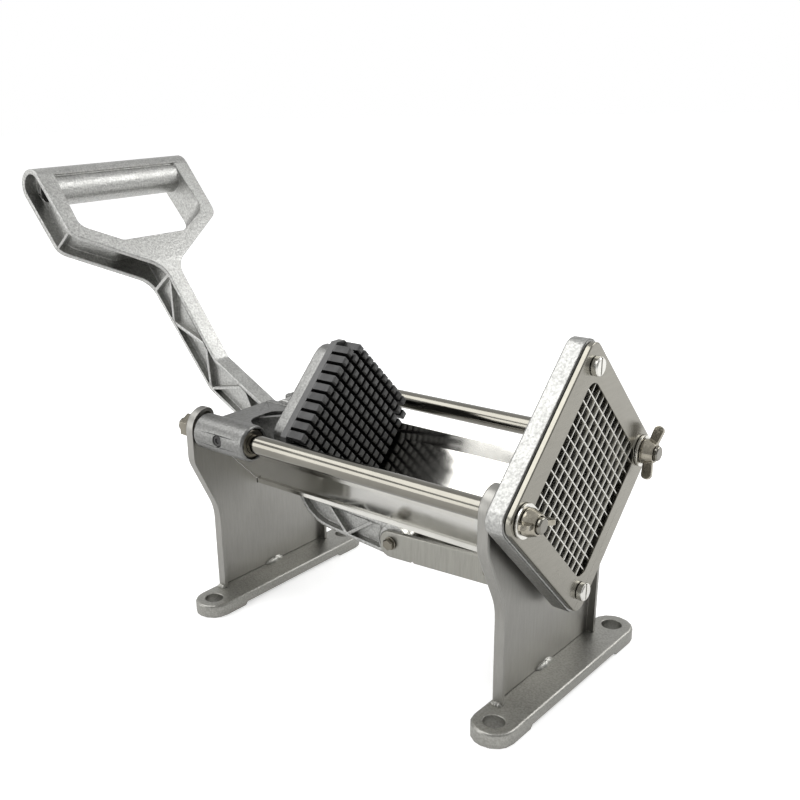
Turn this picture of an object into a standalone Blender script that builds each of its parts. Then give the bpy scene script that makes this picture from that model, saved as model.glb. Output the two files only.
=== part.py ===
"""Hand lever potato cutter: a lever drives a toothed pusher along two rods through a blade grid.

Metres, +Z up, +X towards the blades, +Y across the machine. The sizes below are measured from the
ground, the middle plane and the line of the front foot's holes. One empty at the end of the size
list then puts the middle of the whole machine's footprint on the world's origin.
"""
import math

import bmesh
import bpy
from mathutils import Matrix, Vector

# Fits
GAP = 0.0003                    # between pieces that touch
RUNNING_GAP = 0.00008           # round a shaft that turns or slides
OVERRUN = 0.002                 # how far a cutter runs past the face that it cuts
OVERLAP = 0.0008                # how far joined shapes reach into each other
STEP = 0.0003                   # between faces that would otherwise lie in one plane
ARC_STEPS = 5                   # facets in a small fillet
ROUND_STEPS = 28                # facets round a shaft
SMALL_STEPS = 16                # facets round a small fastener

# Feet
FOOT_HOLE_HALF = 0.0616
FOOT_HALF_WIDTH = 0.0115
FOOT_HEIGHT = 0.0080
FOOT_HOLE_RADIUS = 0.0055
FOOT_PAD_INNER = 0.0455
FOOT_RELIEF = 0.0020
FOOT_EDGE = 0.0009

# Legs, pressed from sheet
LEG_SPACING = 0.2004
LEG_BACK = -0.0100
LEG_SHEET = 0.0022
LEG_DEPTH = 0.0064
LEG_FOOT_HALF = 0.0485
LEG_WAIST_HALF = 0.0493
LEG_WAIST_HEIGHT = 0.0624
LEG_HORN_HALF = 0.0669
LEG_HORN_HEIGHT = 0.0977
LEG_WAIST_FILLET = 0.0300
LEG_SHOULDER_FILLET = 0.0160
HORN_RADIUS = 0.01235           # outer side of a horn's round top
HORN_INNER_RADIUS = 0.0055
HORN_STEPS = 8
NOTCH_FLOOR_DROP = 0.0003
BEND_RADIUS = 0.0016

# Rods and their ends
ROD_HEIGHT = 0.1165
ROD_HALF_SPACING = 0.0588
ROD_RADIUS = 0.0055
STUD_RADIUS = 0.0040
STUD_REAR = 0.0110              # beyond the rear leg's back
STUD_FRONT = 0.0200             # where the front studs end
STUD_EDGE = 0.0006
NUT_HALF_FLATS = 0.0065
NUT_HEIGHT = 0.0065
NUT_EDGE = 0.0007

# Trough
TROUGH_SHEET = 0.0012
TROUGH_SLOT_HALF = 0.0118
TROUGH_SLOT_HEIGHT = 0.0703
TROUGH_LIP = 0.0030
TROUGH_HALF = 0.0400
TROUGH_FLANGE_HALF = 0.0448     # at the flange's top edge
TROUGH_FLANGE_RISE = 0.0078
TROUGH_BEND = 0.0016

# Blade holder, a cast ring
HOLDER_REAR = -0.0033
HOLDER_THICK = 0.0100
HOLDER_HALF_SIDE = 0.0530
HOLDER_CORNER = 0.0085
HOLDER_EDGE = 0.0010

# Blade frame and blades
FRAME_THICK = 0.0028
FRAME_HALF_SIDE = 0.0518
FRAME_CORNER = 0.0075
FRAME_OPENING_CORNER = 0.0075
FRAME_RING_WALL = 0.0036
FRAME_LAP = 0.0003
FRAME_EDGE = 0.0004
BLADE_PITCH = 0.00635
BLADE_CELLS = 12
BLADE_THICK = 0.0007
BLADE_DEPTH = 0.0070
BLADE_SEAT = 0.0018             # how far a blade's end reaches into its slot
BLADE_CLEARANCE = 0.0003

# Screws at the frame's top and bottom corners
SCREW_RADIUS = 0.0025
SCREW_HEAD_RADIUS = 0.0048
SCREW_HEAD_HEIGHT = 0.0033
SCREW_SLOT_WIDTH = 0.0011
SCREW_SLOT_DEPTH = 0.0013
SCREW_LENGTH = 0.0110

# Washers and wing nuts
WASHER_RADIUS = 0.0085
WASHER_THICK = 0.0014
WING_BASE_RADIUS = 0.0068
WING_TOP_RADIUS = 0.0052
WING_BASE_HEIGHT = 0.0062
WING_SPAN_HALF = 0.0145
WING_THICK = 0.0026
WING_ROOT_LOW = 0.0010
WING_ROOT_HIGH = 0.0056
WING_TIP_LOW = 0.0022
WING_TIP_HIGH = 0.0078
WING_TIP_ROUND = 0.0026
WING_NEAR_TURN = -12.0          # degrees about the rod
WING_FAR_TURN = 62.0

# Pusher block
BLOCK_BACK = -0.1507
BLOCK_THICK = 0.0045
BLOCK_SIDE = 0.0743
BLOCK_CORNER = 0.0047
BLOCK_REACH = 0.0486            # its side corners are cut off there, to pass between the horns
TOOTH_LENGTH = 0.0115
TOOTH_HALF = 0.0022
TOOTH_EDGE = 0.0008

# Carriage, a casting that slides on the rods
PLATE_SIDE = 0.0720
PLATE_THICK = 0.0090
PLATE_CORNER = 0.0120
PLATE_EDGE = 0.0012
SLEEVE_RADIUS = 0.0105
SLEEVE_LENGTH = 0.0400
SLEEVE_BEHIND_PLATE = 0.0010
SLEEVE_BORE = 0.0086
SLEEVE_EDGE = 0.0010
BUSH_RECESS = 0.0006
BUSH_EDGE = 0.0005
WING_INSET = 0.0020             # from the sleeve's rear end
WING_THICK_UP = 0.0045
WING_DEPTH = 0.0170
WING_FILLET = 0.0120
WING_RIB_THICK = 0.0050
WING_RIB_HEIGHT = 0.0152
GUSSET_PLACE = 0.0290
GUSSET_THICK = 0.0040
GUSSET_RISE = 0.0040
GUSSET_DROP = 0.0160
LUG_INNER = 0.0064
LUG_OUTER = 0.0100
LUG_RADIUS = 0.0095
LUG_ROOT_HALF = 0.0150
SET_SCREW_RADIUS = 0.0032
SET_SCREW_LENGTH = 0.0012
SET_SCREW_SOCKET = 0.0016
SET_SCREW_SOCKET_DEPTH = 0.0007

# Lever pivot on the carriage
PIVOT_BEHIND_PLATE = 0.0270
PIVOT_HEIGHT = 0.1135
PIVOT_RADIUS = 0.0035
PIVOT_HEAD_RADIUS = 0.0046
PIVOT_HEAD_THICK = 0.0024

# Lever, an I-section casting; places are from its pivot
LEVER_HALF_WIDTH = 0.0058
LEVER_HUB_HALF = 0.0061
LEVER_DEPTH = 0.0220
LEVER_WEB_HALF = 0.0014
LEVER_FLANGE = 0.0024
LEVER_RIB = 0.0022
LEVER_HUB_RADIUS = 0.0110
ELBOW_HUB_RADIUS = 0.0104
ELBOW_BOSS_RADIUS = 0.0120
ARM_ANGLE = 129.6               # degrees above +X
ARM_MARK_BACK = 0.0813          # a mark on the arm's front line; lengths along the arm start here
ARM_MARK_UP = 0.0566
BEND_BACK = 0.0603
BEND_UP = 0.0267
FOREARM_DEPTH = 0.0218
SHOULDER_BACK = 0.0145
SHOULDER_UP = 0.0019
ELBOW_X = 0.0830                # the lower pivot
ELBOW_DROP = 0.0595
ELBOW_TOP = 0.0095              # the lower arm's top and bottom edges at the elbow
ELBOW_BOTTOM = 0.0101
NECK_FRONT_X = 0.0210
NECK_FRONT_DROP = 0.0200
CROOK_X = 0.0220
CROOK_DROP = 0.0470
HEEL_X = 0.0170
HEEL_DROP = 0.0638
BEND_FILLET = 0.0060
REAR_BEND_FILLET = 0.0140
SHOULDER_FILLET = 0.0100
NECK_FILLET = 0.0080
CROOK_FILLET = 0.0120
HEEL_FILLET = 0.0280
HOCK_FILLET = 0.0240
# Ends of the ribs on the upper arm, the forearm and the lower arm: along the limb and across it
UPPER_RIB_SHARES = ((1.31, 0.07), (0.19, 0.94), (-1.17, 0.17))
FOREARM_RIB_SHARES = ((-0.52, -0.07), (0.16, 0.93), (1.25, 0.07), (2.45, 0.94))
LOWER_RIB_SHARES = ((0.60, 0.00), (1.63, 0.69), (2.33, -0.06))

# Handle, a flat D across the end of the arm; lengths run along the arm from its mark
POCKET_TOP = 0.0285
HANDLE_CAVITY_START = 0.0307
HANDLE_NECK = 0.0359
HANDLE_NECK_FILLET = 0.0150
HANDLE_SHOULDER = 0.0691
HANDLE_SHOULDER_HALF = 0.0615
HANDLE_SHOULDER_FILLET = 0.0100
HANDLE_HALF_WIDTH = 0.0625
HANDLE_ROUND_PLACE = 0.1135
HANDLE_SKIN = 0.0032
HANDLE_TAPER_END = 0.0410
WINDOW_FLOOR = 0.0594
WINDOW_FLOOR_HALF = 0.0258
WINDOW_FLOOR_FILLET = 0.0080
WINDOW_SHOULDER = 0.0740
WINDOW_SHOULDER_HALF = 0.0517
WINDOW_SHOULDER_FILLET = 0.0080
WINDOW_TOP = 0.1136
WINDOW_TOP_HALF = 0.0500
GRIP_PLACE = 0.1093
GRIP_RADIUS = 0.0102
GRIP_BORE = 0.0070
ROUND_TOP_STEPS = 12

# Link, a channel folded from sheet
LINK_LENGTH = 0.0671
LINK_RISE_ANGLE = 2.99          # degrees, from the lever's lower pivot up to the bracket
LINK_CHEEK_INNER = 0.0064
LINK_SHEET = 0.0025
LINK_TOP = 0.0072               # above the line of its bolts
LINK_BOTTOM = 0.0092
LINK_NOSE = 0.0080
LINK_NOSE_FILLET = 0.0065
LINK_RELIEF = 0.0147            # the bend relief, from the lower pivot
LINK_RELIEF_RADIUS = 0.0012
LINK_WEB_START = 0.0160
LINK_WEB_END = 0.0140
LINK_FOLD = 0.0012

# Bolts on the link
BOLT_RADIUS = 0.0020
BOLT_HEAD_HALF_FLATS = 0.0032
BOLT_HEAD_HEIGHT = 0.0027
BOLT_WASHER_RADIUS = 0.0040
BOLT_WASHER_THICK = 0.0006
BOLT_END = 0.0012

# Bracket on the back of the front leg
BRACKET_BASE = 0.0030
BRACKET_HALF_WIDTH = 0.0140
BRACKET_TOP = 0.0086            # above and below the pivot
BRACKET_BOTTOM = 0.0130
BRACKET_EDGE = 0.0006
TONGUE_HALF = 0.0058
TONGUE_RADIUS = 0.0078

# Places that follow from the sizes
LEG_PLATE_FRONT = LEG_BACK + LEG_SHEET
LEG_FRONT = LEG_BACK + LEG_DEPTH
REAR_LEG_BACK = LEG_BACK - LEG_SPACING
REAR_LEG_PLATE_FRONT = LEG_PLATE_FRONT - LEG_SPACING
LEG_BOTTOM = FOOT_HEIGHT + GAP
HORN_CENTRE = LEG_HORN_HALF - HORN_RADIUS
HORN_TOP = ROD_HEIGHT + HORN_RADIUS
HORN_INNER = HORN_CENTRE - HORN_INNER_RADIUS
TROUGH_BEND_HEIGHT = TROUGH_SLOT_HEIGHT + TROUGH_HALF - TROUGH_SLOT_HALF
TROUGH_TOP = TROUGH_BEND_HEIGHT + TROUGH_FLANGE_RISE
HOLDER_FRONT = HOLDER_REAR + HOLDER_THICK
FRAME_REAR = HOLDER_FRONT + GAP
FRAME_FRONT = FRAME_REAR + FRAME_THICK
OPENING_HALF = BLADE_PITCH * BLADE_CELLS / 2
RING_HALF = OPENING_HALF + FRAME_RING_WALL
BLADE_FRONT = FRAME_REAR - GAP
BLADE_REAR = BLADE_FRONT - BLADE_DEPTH
RING_REAR = BLADE_REAR - GAP
WASHER_REAR = FRAME_FRONT + GAP
WING_NUT_REAR = WASHER_REAR + WASHER_THICK + GAP
BLOCK_FRONT = BLOCK_BACK + BLOCK_THICK
PLATE_FRONT = BLOCK_BACK - GAP
PLATE_BACK = PLATE_FRONT - PLATE_THICK
SLEEVE_FRONT = PLATE_BACK - SLEEVE_BEHIND_PLATE
SLEEVE_REAR = SLEEVE_FRONT - SLEEVE_LENGTH
WING_REAR = SLEEVE_REAR + WING_INSET
WING_FRONT = WING_REAR + WING_DEPTH
LUG_TOP = PIVOT_HEIGHT + LUG_RADIUS
PIVOT = Vector((PLATE_BACK - PIVOT_BEHIND_PLATE, 0, PIVOT_HEIGHT))
ELBOW = PIVOT + Vector((ELBOW_X, 0, -ELBOW_DROP))
LINK_ANGLE = math.radians(LINK_RISE_ANGLE)
LINK_END = ELBOW + LINK_LENGTH * Vector((math.cos(LINK_ANGLE), 0, math.sin(LINK_ANGLE)))
CHEEK_OUTER = LINK_CHEEK_INNER + LINK_SHEET
ARM = math.radians(ARM_ANGLE)
ALONG_ARM = Vector((math.cos(ARM), math.sin(ARM)))
OUT_OF_ARM = Vector((math.sin(ARM), -math.cos(ARM)))
ARM_MARK = Vector((-ARM_MARK_BACK, ARM_MARK_UP))
HANDLE_ROUND = LEVER_DEPTH / 2
REAR_REACH = PIVOT.x + (ARM_MARK + ALONG_ARM * HANDLE_ROUND_PLACE - OUT_OF_ARM * HANDLE_ROUND).x - HANDLE_ROUND
MACHINE_MIDDLE = (REAR_REACH + STUD_FRONT) / 2

# Colours: base colour, roughness, metallic
CAST_ALUMINIUM = ((0.62, 0.62, 0.60, 1), 0.48, 0.9)
CAST_GREY = ((0.40, 0.40, 0.38, 1), 0.62, 0.8)
SATIN_STEEL = ((0.56, 0.55, 0.51, 1), 0.34, 1.0)
MIRROR_STEEL = ((0.72, 0.71, 0.67, 1), 0.08, 1.0)
BRIGHT_STEEL = ((0.70, 0.69, 0.65, 1), 0.18, 1.0)
BLACK_PLASTIC = ((0.020, 0.020, 0.022, 1), 0.42, 0.0)
DULL_STEEL = ((0.42, 0.41, 0.38, 1), 0.45, 0.9)
BLACK_STEEL = ((0.06, 0.06, 0.06, 1), 0.40, 0.8)


def clear_scene():
    """Take every object out of the open scene."""
    for thing in list(bpy.data.objects):
        bpy.data.objects.remove(thing, do_unlink=True)


def add_empty(name, place):
    """An empty that carries pieces."""
    empty = bpy.data.objects.new(name, None)
    empty.location = place
    bpy.context.collection.objects.link(empty)
    return empty


def add_material(name, finish):
    """One Principled material."""
    colour, roughness, metallic = finish
    material = bpy.data.materials.new(name)
    material.use_nodes = True
    shader = material.node_tree.nodes["Principled BSDF"]
    shader.inputs["Base Color"].default_value = colour
    shader.inputs["Roughness"].default_value = roughness
    shader.inputs["Metallic"].default_value = metallic
    return material


def add_object(name, solid, finish, parent, place=(0, 0, 0), turn=None):
    """Make an object of a bmesh, with its own material, under its parent."""
    mesh = bpy.data.meshes.new(name)
    solid.to_mesh(mesh)
    solid.free()
    thing = bpy.data.objects.new(name, mesh)
    bpy.context.collection.objects.link(thing)
    thing.parent = parent
    thing.location = place
    if turn:
        thing.rotation_euler = turn
    mesh.materials.append(add_material(name, finish))
    mesh.shade_smooth()
    mesh.set_sharp_from_angle(angle=math.radians(30))
    return thing


def combine(name, first, steps):
    """Join shapes to a bmesh, cut them away or keep the common part, in order, and return a bmesh."""
    thing = add_object(name, first, CAST_GREY, None)
    for operation, shape in steps:
        tool = add_object(name + "_tool", shape, CAST_GREY, None)
        modifier = thing.modifiers.new("shape", "BOOLEAN")
        modifier.operation = operation
        modifier.solver = "EXACT"
        modifier.object = tool
        evaluated = thing.evaluated_get(bpy.context.evaluated_depsgraph_get())
        mesh = bpy.data.meshes.new_from_object(evaluated)
        thing.modifiers.clear()
        thing.data = mesh
        bpy.data.objects.remove(tool, do_unlink=True)
    solid = bmesh.new()
    solid.from_mesh(thing.data)
    bpy.data.objects.remove(thing, do_unlink=True)
    return solid


def arc(centre, radius, start, end, steps):
    """Points on an arc in a plane, from one angle to another in degrees."""
    points = []
    for step in range(steps + 1):
        angle = math.radians(start + (end - start) * step / steps)
        points.append((centre[0] + radius * math.cos(angle), centre[1] + radius * math.sin(angle)))
    return points


def circle(centre, radius, steps=ROUND_STEPS):
    """Points round a circle, flat side down."""
    turn = 180 / steps
    return arc(centre, radius, turn, 360 + turn, steps)[:-1]


def fillet(corners, steps=ARC_STEPS):
    """Round the corners of an outline; each corner is (across, up, radius)."""
    points = []
    count = len(corners)
    for index, (across, up, radius) in enumerate(corners):
        here = Vector((across, up))
        before = Vector(corners[index - 1][:2]) - here
        after = Vector(corners[(index + 1) % count][:2]) - here
        angle = before.angle(after)
        if radius <= 0 or math.pi - angle < 0.001:
            points.append((across, up))
            continue
        reach = radius / math.tan(angle / 2)
        start = here + before.normalized() * reach
        end = here + after.normalized() * reach
        middle = here + (before.normalized() + after.normalized()).normalized() * radius / math.sin(angle / 2)
        first = start - middle
        turn = first.angle_signed(end - middle)
        for step in range(steps + 1):
            spoke = first.copy()
            spoke.rotate(Matrix.Rotation(-turn * step / steps, 2))
            points.append(tuple(middle + spoke))
    return points


def square_corners(half_side, radius):
    """Corners of a square, for fillet."""
    return [(half_side, half_side, radius), (-half_side, half_side, radius),
            (-half_side, -half_side, radius), (half_side, -half_side, radius)]


def diamond(half_side, radius, steps=ARC_STEPS):
    """A rounded square that stands on a corner, round the rods' height."""
    turn = Matrix.Rotation(math.radians(45), 2)
    points = [turn @ Vector(point) for point in fillet(square_corners(half_side, radius), steps)]
    return [(point.x, point.y + ROD_HEIGHT) for point in points]


def signed_area(points):
    """Twice the area of an outline, positive when it runs anticlockwise."""
    total = 0
    for index, (across, up) in enumerate(points):
        past_across, past_up = points[index - 1]
        total += past_across * up - across * past_up
    return total


def shrink(points, distance):
    """Move each side of an outline inwards, square to itself."""
    if signed_area(points) < 0:
        distance = -distance
    count = len(points)
    moved = []
    for index in range(count):
        here = Vector(points[index])
        before = (here - Vector(points[index - 1])).normalized()
        after = (Vector(points[(index + 1) % count]) - here).normalized()
        normal = Vector((-before.y, before.x)) + Vector((-after.y, after.x))
        normal.normalize()
        share = normal.dot(Vector((-before.y, before.x)))
        moved.append(tuple(here + normal * distance / share))
    return moved


def across_x(point, depth):
    """A point of an outline in the Y-Z plane, at a depth along X."""
    return Vector((depth, point[0], point[1]))


def across_y(point, depth):
    """A point of an outline in the X-Z plane, at a depth along Y."""
    return Vector((point[0], depth, point[1]))


def across_z(point, depth):
    """A point of an outline in the X-Y plane, at a depth along Z."""
    return Vector((point[0], point[1], depth))


def loft(layers, plane):
    """A solid through outlines with the same count of points; each layer is (outline, depth)."""
    solid = bmesh.new()
    rings = []
    for outline, depth in layers:
        rings.append([solid.verts.new(plane(point, depth)) for point in outline])
    for lower, upper in zip(rings, rings[1:]):
        for index in range(len(lower)):
            solid.faces.new((lower[index - 1], lower[index], upper[index], upper[index - 1]))
    solid.faces.new(list(reversed(rings[0])))
    solid.faces.new(rings[-1])
    solid.normal_update()
    bmesh.ops.triangulate(solid, faces=[face for face in solid.faces if len(face.verts) > 4])
    bmesh.ops.recalc_face_normals(solid, faces=solid.faces)
    return solid


def prism(outline, start, end, plane):
    """An outline carried straight from one depth to another."""
    return loft([(outline, start), (outline, end)], plane)


def edged_prism(outline, start, end, plane, start_edge, end_edge):
    """A prism whose two ends have a small bevel."""
    layers = []
    if start_edge:
        layers.append((shrink(outline, start_edge), start))
        layers.append((outline, start + start_edge))
    else:
        layers.append((outline, start))
    if end_edge:
        layers.append((outline, end - end_edge))
        layers.append((shrink(outline, end_edge), end))
    else:
        layers.append((outline, end))
    return loft(layers, plane)


def perforated(outline, holes, start, end, plane):
    """A plate with holes, all cut square through it."""
    solid = bmesh.new()
    loops = [outline] + holes
    edges = []
    rings = []
    for loop in loops:
        ring = [solid.verts.new(plane(point, start)) for point in loop]
        edges += [solid.edges.new((ring[index - 1], ring[index])) for index in range(len(ring))]
        rings.append(ring)
    bmesh.ops.triangle_fill(solid, use_beauty=True, use_dissolve=False, edges=edges)
    face_list = list(solid.faces)
    shift = plane((0, 0), end) - plane((0, 0), start)
    far = {}
    for ring in rings:
        for vert in ring:
            far[vert] = solid.verts.new(vert.co + shift)
    for face in face_list:
        solid.faces.new([far[vert] for vert in reversed(face.verts)])
    for ring in rings:
        for index in range(len(ring)):
            near, past = ring[index], ring[index - 1]
            solid.faces.new((past, near, far[near], far[past]))
    bmesh.ops.recalc_face_normals(solid, faces=solid.faces)
    return solid


def shaft(stations, centre, direction, steps=ROUND_STEPS):
    """A turned piece along X, Y or Z; each station is (distance along it, radius)."""
    planes = {"X": across_x, "Y": across_y, "Z": across_z}
    layers = [(circle(centre, radius, steps), distance) for distance, radius in stations]
    return loft(layers, planes[direction])


def box(low, high):
    """A block from its lowest to its highest corner."""
    outline = [(low[0], low[1]), (high[0], low[1]), (high[0], high[1]), (low[0], high[1])]
    return prism(outline, low[2], high[2], across_z)


def hexagon(centre, half_flats):
    """Points of a hexagon, a corner up."""
    radius = half_flats / math.cos(math.radians(30))
    return [(centre[0] + radius * math.sin(math.radians(60 * side)),
             centre[1] + radius * math.cos(math.radians(60 * side))) for side in range(6)]


def make_foot(name, parent, place):
    """A flat foot with round ends, a hole in each and a relieved underside."""
    ends = arc((0, FOOT_HOLE_HALF), FOOT_HALF_WIDTH, 0, 180, SMALL_STEPS // 2)
    ends += arc((0, -FOOT_HOLE_HALF), FOOT_HALF_WIDTH, 180, 360, SMALL_STEPS // 2)
    body = edged_prism(ends, 0, FOOT_HEIGHT, across_z, 0, FOOT_EDGE)
    ramp = FOOT_PAD_INNER - FOOT_RELIEF
    relief = [(-FOOT_PAD_INNER - OVERRUN, -OVERRUN), (FOOT_PAD_INNER + OVERRUN, -OVERRUN),
              (ramp, FOOT_RELIEF), (-ramp, FOOT_RELIEF)]
    reach = FOOT_HALF_WIDTH + OVERRUN
    steps = [("DIFFERENCE", prism(relief, -reach, reach, across_x))]
    for side in (-1, 1):
        hole = circle((0, side * FOOT_HOLE_HALF), FOOT_HOLE_RADIUS)
        steps.append(("DIFFERENCE", prism(hole, -OVERRUN, FOOT_HEIGHT + OVERRUN, across_z)))
    return add_object(name, combine(name, body, steps), CAST_GREY, parent, place)


def leg_edge(inset):
    """The outer edge of a leg's far half with its horn's round top, moved inwards by an inset."""
    side = fillet([(0, LEG_BOTTOM, 0), (LEG_FOOT_HALF - inset, LEG_BOTTOM, 0),
                   (LEG_WAIST_HALF - inset, LEG_WAIST_HEIGHT, LEG_WAIST_FILLET + inset),
                   (LEG_HORN_HALF - inset, LEG_HORN_HEIGHT, LEG_SHOULDER_FILLET - inset),
                   (LEG_HORN_HALF - inset, ROD_HEIGHT, 0), (0, ROD_HEIGHT, 0)])
    inner_centre = (HORN_CENTRE, HORN_TOP - HORN_INNER_RADIUS)
    return (side[1:-2] + arc((HORN_CENTRE, ROD_HEIGHT), HORN_RADIUS - inset, 0, 90, HORN_STEPS)
            + arc(inner_centre, HORN_INNER_RADIUS - inset, 90, 180, HORN_STEPS)[1:])


def trough_corners(drop):
    """Corners of the underside of the far trough panel, moved out of the trough by drop."""
    low_turn = drop * math.tan(math.radians(22.5))
    lean = math.atan2(TROUGH_FLANGE_RISE, TROUGH_FLANGE_HALF - TROUGH_HALF)
    high_turn = drop * math.tan((lean - math.radians(45)) / 2)
    slot = TROUGH_SLOT_HALF + drop
    along_slope = math.cos(math.radians(45))
    bend = (TROUGH_HALF + (drop + high_turn) * along_slope, TROUGH_BEND_HEIGHT - (drop - high_turn) * along_slope)
    top = (TROUGH_FLANGE_HALF + drop * math.sin(lean), TROUGH_TOP - drop * math.cos(lean))
    return [(slot, TROUGH_SLOT_HEIGHT - TROUGH_LIP), (slot, TROUGH_SLOT_HEIGHT - low_turn), bend, top]


def notch_edge():
    """The far half of the opening between a leg's horns, from the horn down to the notch's floor."""
    lip, slot, bend, flange = trough_corners(GAP)
    rise = HORN_INNER - flange[0]
    return [(HORN_INNER, flange[1] + rise), flange, bend, slot, (slot[0], lip[1] - NOTCH_FLOOR_DROP)]


def make_leg(name, parent, place):
    """A leg pressed from sheet: a plate with a notch on top and a flange round its outer edge."""
    layers = []
    for share in (1, 0.6, 0.25, 0):
        inset = BEND_RADIUS * (1 - math.sqrt(1 - share * share))
        layers.append((mirrored(leg_edge(inset) + notch_edge()), LEG_BACK + BEND_RADIUS * (1 - share)))
    layers.append((layers[-1][0], LEG_FRONT))
    pan = leg_edge(LEG_SHEET)
    pan[0] = (pan[0][0], LEG_BOTTOM - OVERRUN)
    pan.append((HORN_INNER + LEG_SHEET, ROD_HEIGHT))
    steps = [("DIFFERENCE", prism(mirrored(pan), LEG_PLATE_FRONT, LEG_FRONT + OVERRUN, across_x))]
    for side in (-1, 1):
        hole = circle((side * ROD_HALF_SPACING, ROD_HEIGHT), STUD_RADIUS + GAP)
        steps.append(("DIFFERENCE", prism(hole, LEG_BACK - OVERRUN, LEG_PLATE_FRONT + OVERRUN, across_x)))
    return add_object(name, combine(name, loft(layers, across_x), steps), SATIN_STEEL, parent, place)


def make_trough_panel(name, side, parent):
    """One bright sheet of the trough, with a lip at the slot and a flange along its top."""
    under = trough_corners(0)
    over = trough_corners(-TROUGH_SHEET)
    corners = [(under[0], 0), (under[1], TROUGH_BEND), (under[2], TROUGH_BEND + TROUGH_SHEET), (under[3], 0),
               (over[3], 0), (over[2], TROUGH_BEND), (over[1], TROUGH_BEND + TROUGH_SHEET), (over[0], 0)]
    outline = fillet([(side * point[0], point[1], radius) for point, radius in corners])
    body = prism(outline, REAR_LEG_BACK, LEG_PLATE_FRONT, across_x)
    return add_object(name, body, MIRROR_STEEL, parent)


def make_rod(name, side, parent):
    """A guide rod with a shoulder and a thinner stud at each end."""
    rear = REAR_LEG_PLATE_FRONT + GAP
    front = LEG_BACK - GAP
    stations = [(REAR_LEG_BACK - STUD_REAR, STUD_RADIUS - STUD_EDGE),
                (REAR_LEG_BACK - STUD_REAR + STUD_EDGE, STUD_RADIUS), (rear, STUD_RADIUS),
                (rear, ROD_RADIUS), (front, ROD_RADIUS), (front, STUD_RADIUS),
                (STUD_FRONT - STUD_EDGE, STUD_RADIUS), (STUD_FRONT, STUD_RADIUS - STUD_EDGE)]
    body = shaft(stations, (side * ROD_HALF_SPACING, ROD_HEIGHT), "X")
    return add_object(name, body, BRIGHT_STEEL, parent)


def make_rear_nut(name, side, parent):
    """The hexagon nut that holds a rod against the rear leg."""
    centre = (side * ROD_HALF_SPACING, ROD_HEIGHT)
    front = REAR_LEG_BACK - GAP
    body = edged_prism(hexagon(centre, NUT_HALF_FLATS), front - NUT_HEIGHT, front, across_x, NUT_EDGE, 0)
    bore = prism(circle(centre, STUD_RADIUS + GAP), front - NUT_HEIGHT - OVERRUN, front + OVERRUN, across_x)
    return add_object(name, combine(name, body, [("DIFFERENCE", bore)]), BRIGHT_STEEL, parent)


def corner_holes(stud_radius, screw_radius):
    """Outlines of the holes for the two studs and the two screws."""
    holes = []
    for side in (-1, 1):
        holes.append(circle((side * ROD_HALF_SPACING, ROD_HEIGHT), stud_radius))
        holes.append(circle((0, ROD_HEIGHT + side * ROD_HALF_SPACING), screw_radius, SMALL_STEPS))
    return holes


def make_blade_holder(name, parent):
    """The cast ring behind the blade frame."""
    outline = diamond(HOLDER_HALF_SIDE, HOLDER_CORNER)
    body = edged_prism(outline, HOLDER_REAR, HOLDER_FRONT, across_x, HOLDER_EDGE, HOLDER_EDGE / 2)
    ring_seat = diamond(RING_HALF + GAP, 0)
    passage = diamond(OPENING_HALF, 0)
    steps = [("DIFFERENCE", prism(ring_seat, RING_REAR - GAP, HOLDER_FRONT + OVERRUN, across_x)),
             ("DIFFERENCE", prism(passage, HOLDER_REAR - OVERRUN, HOLDER_FRONT, across_x))]
    for hole in corner_holes(STUD_RADIUS + GAP, SCREW_RADIUS + RUNNING_GAP):
        steps.append(("DIFFERENCE", prism(hole, HOLDER_REAR - OVERRUN, HOLDER_FRONT + OVERRUN, across_x)))
    return add_object(name, combine(name, body, steps), CAST_ALUMINIUM, parent)


def blade_places():
    """How far each blade lies from the middle of the grid."""
    return [(index - BLADE_CELLS / 2) * BLADE_PITCH for index in range(1, BLADE_CELLS)]


def turned(points):
    """Turn an outline by 45 degrees round the middle of the blade grid."""
    turn = Matrix.Rotation(math.radians(45), 2)
    moved = [turn @ Vector(point) for point in points]
    return [(point.x, point.y + ROD_HEIGHT) for point in moved]


def slotted_ring():
    """The inner edge of the frame's rear ring, with a slot for each blade's end."""
    half_slot = BLADE_THICK / 2 + BLADE_CLEARANCE
    depth = OPENING_HALF + BLADE_SEAT + BLADE_CLEARANCE
    side = []
    for place in blade_places():
        side += [(place - half_slot, OPENING_HALF), (place - half_slot, depth),
                 (place + half_slot, depth), (place + half_slot, OPENING_HALF)]
    points = []
    for quarter in range(4):
        turn = Matrix.Rotation(math.radians(-90 * quarter), 2)
        points.append(tuple(turn @ Vector((-OPENING_HALF, OPENING_HALF))))
        points += [tuple(turn @ Vector(point)) for point in side]
    return turned(points)


def make_blade_frame(name, parent):
    """The steel frame that carries the blades: a front plate and a slotted ring behind it."""
    outline = diamond(FRAME_HALF_SIDE, FRAME_CORNER)
    opening = diamond(OPENING_HALF - FRAME_LAP, FRAME_OPENING_CORNER)
    plate = edged_prism(outline, FRAME_REAR, FRAME_FRONT, across_x, 0, FRAME_EDGE)
    inside = prism(slotted_ring(), RING_REAR - OVERRUN, FRAME_REAR, across_x)
    steps = [("UNION", prism(diamond(RING_HALF, 0), RING_REAR, FRAME_REAR + OVERLAP, across_x)),
             ("DIFFERENCE", inside), ("DIFFERENCE", prism(opening, RING_REAR, FRAME_FRONT + OVERRUN, across_x))]
    for hole in corner_holes(STUD_RADIUS + GAP, SCREW_RADIUS + RUNNING_GAP):
        steps.append(("DIFFERENCE", prism(hole, RING_REAR, FRAME_FRONT + OVERRUN, across_x)))
    return add_object(name, combine(name, plate, steps), SATIN_STEEL, parent)


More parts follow.
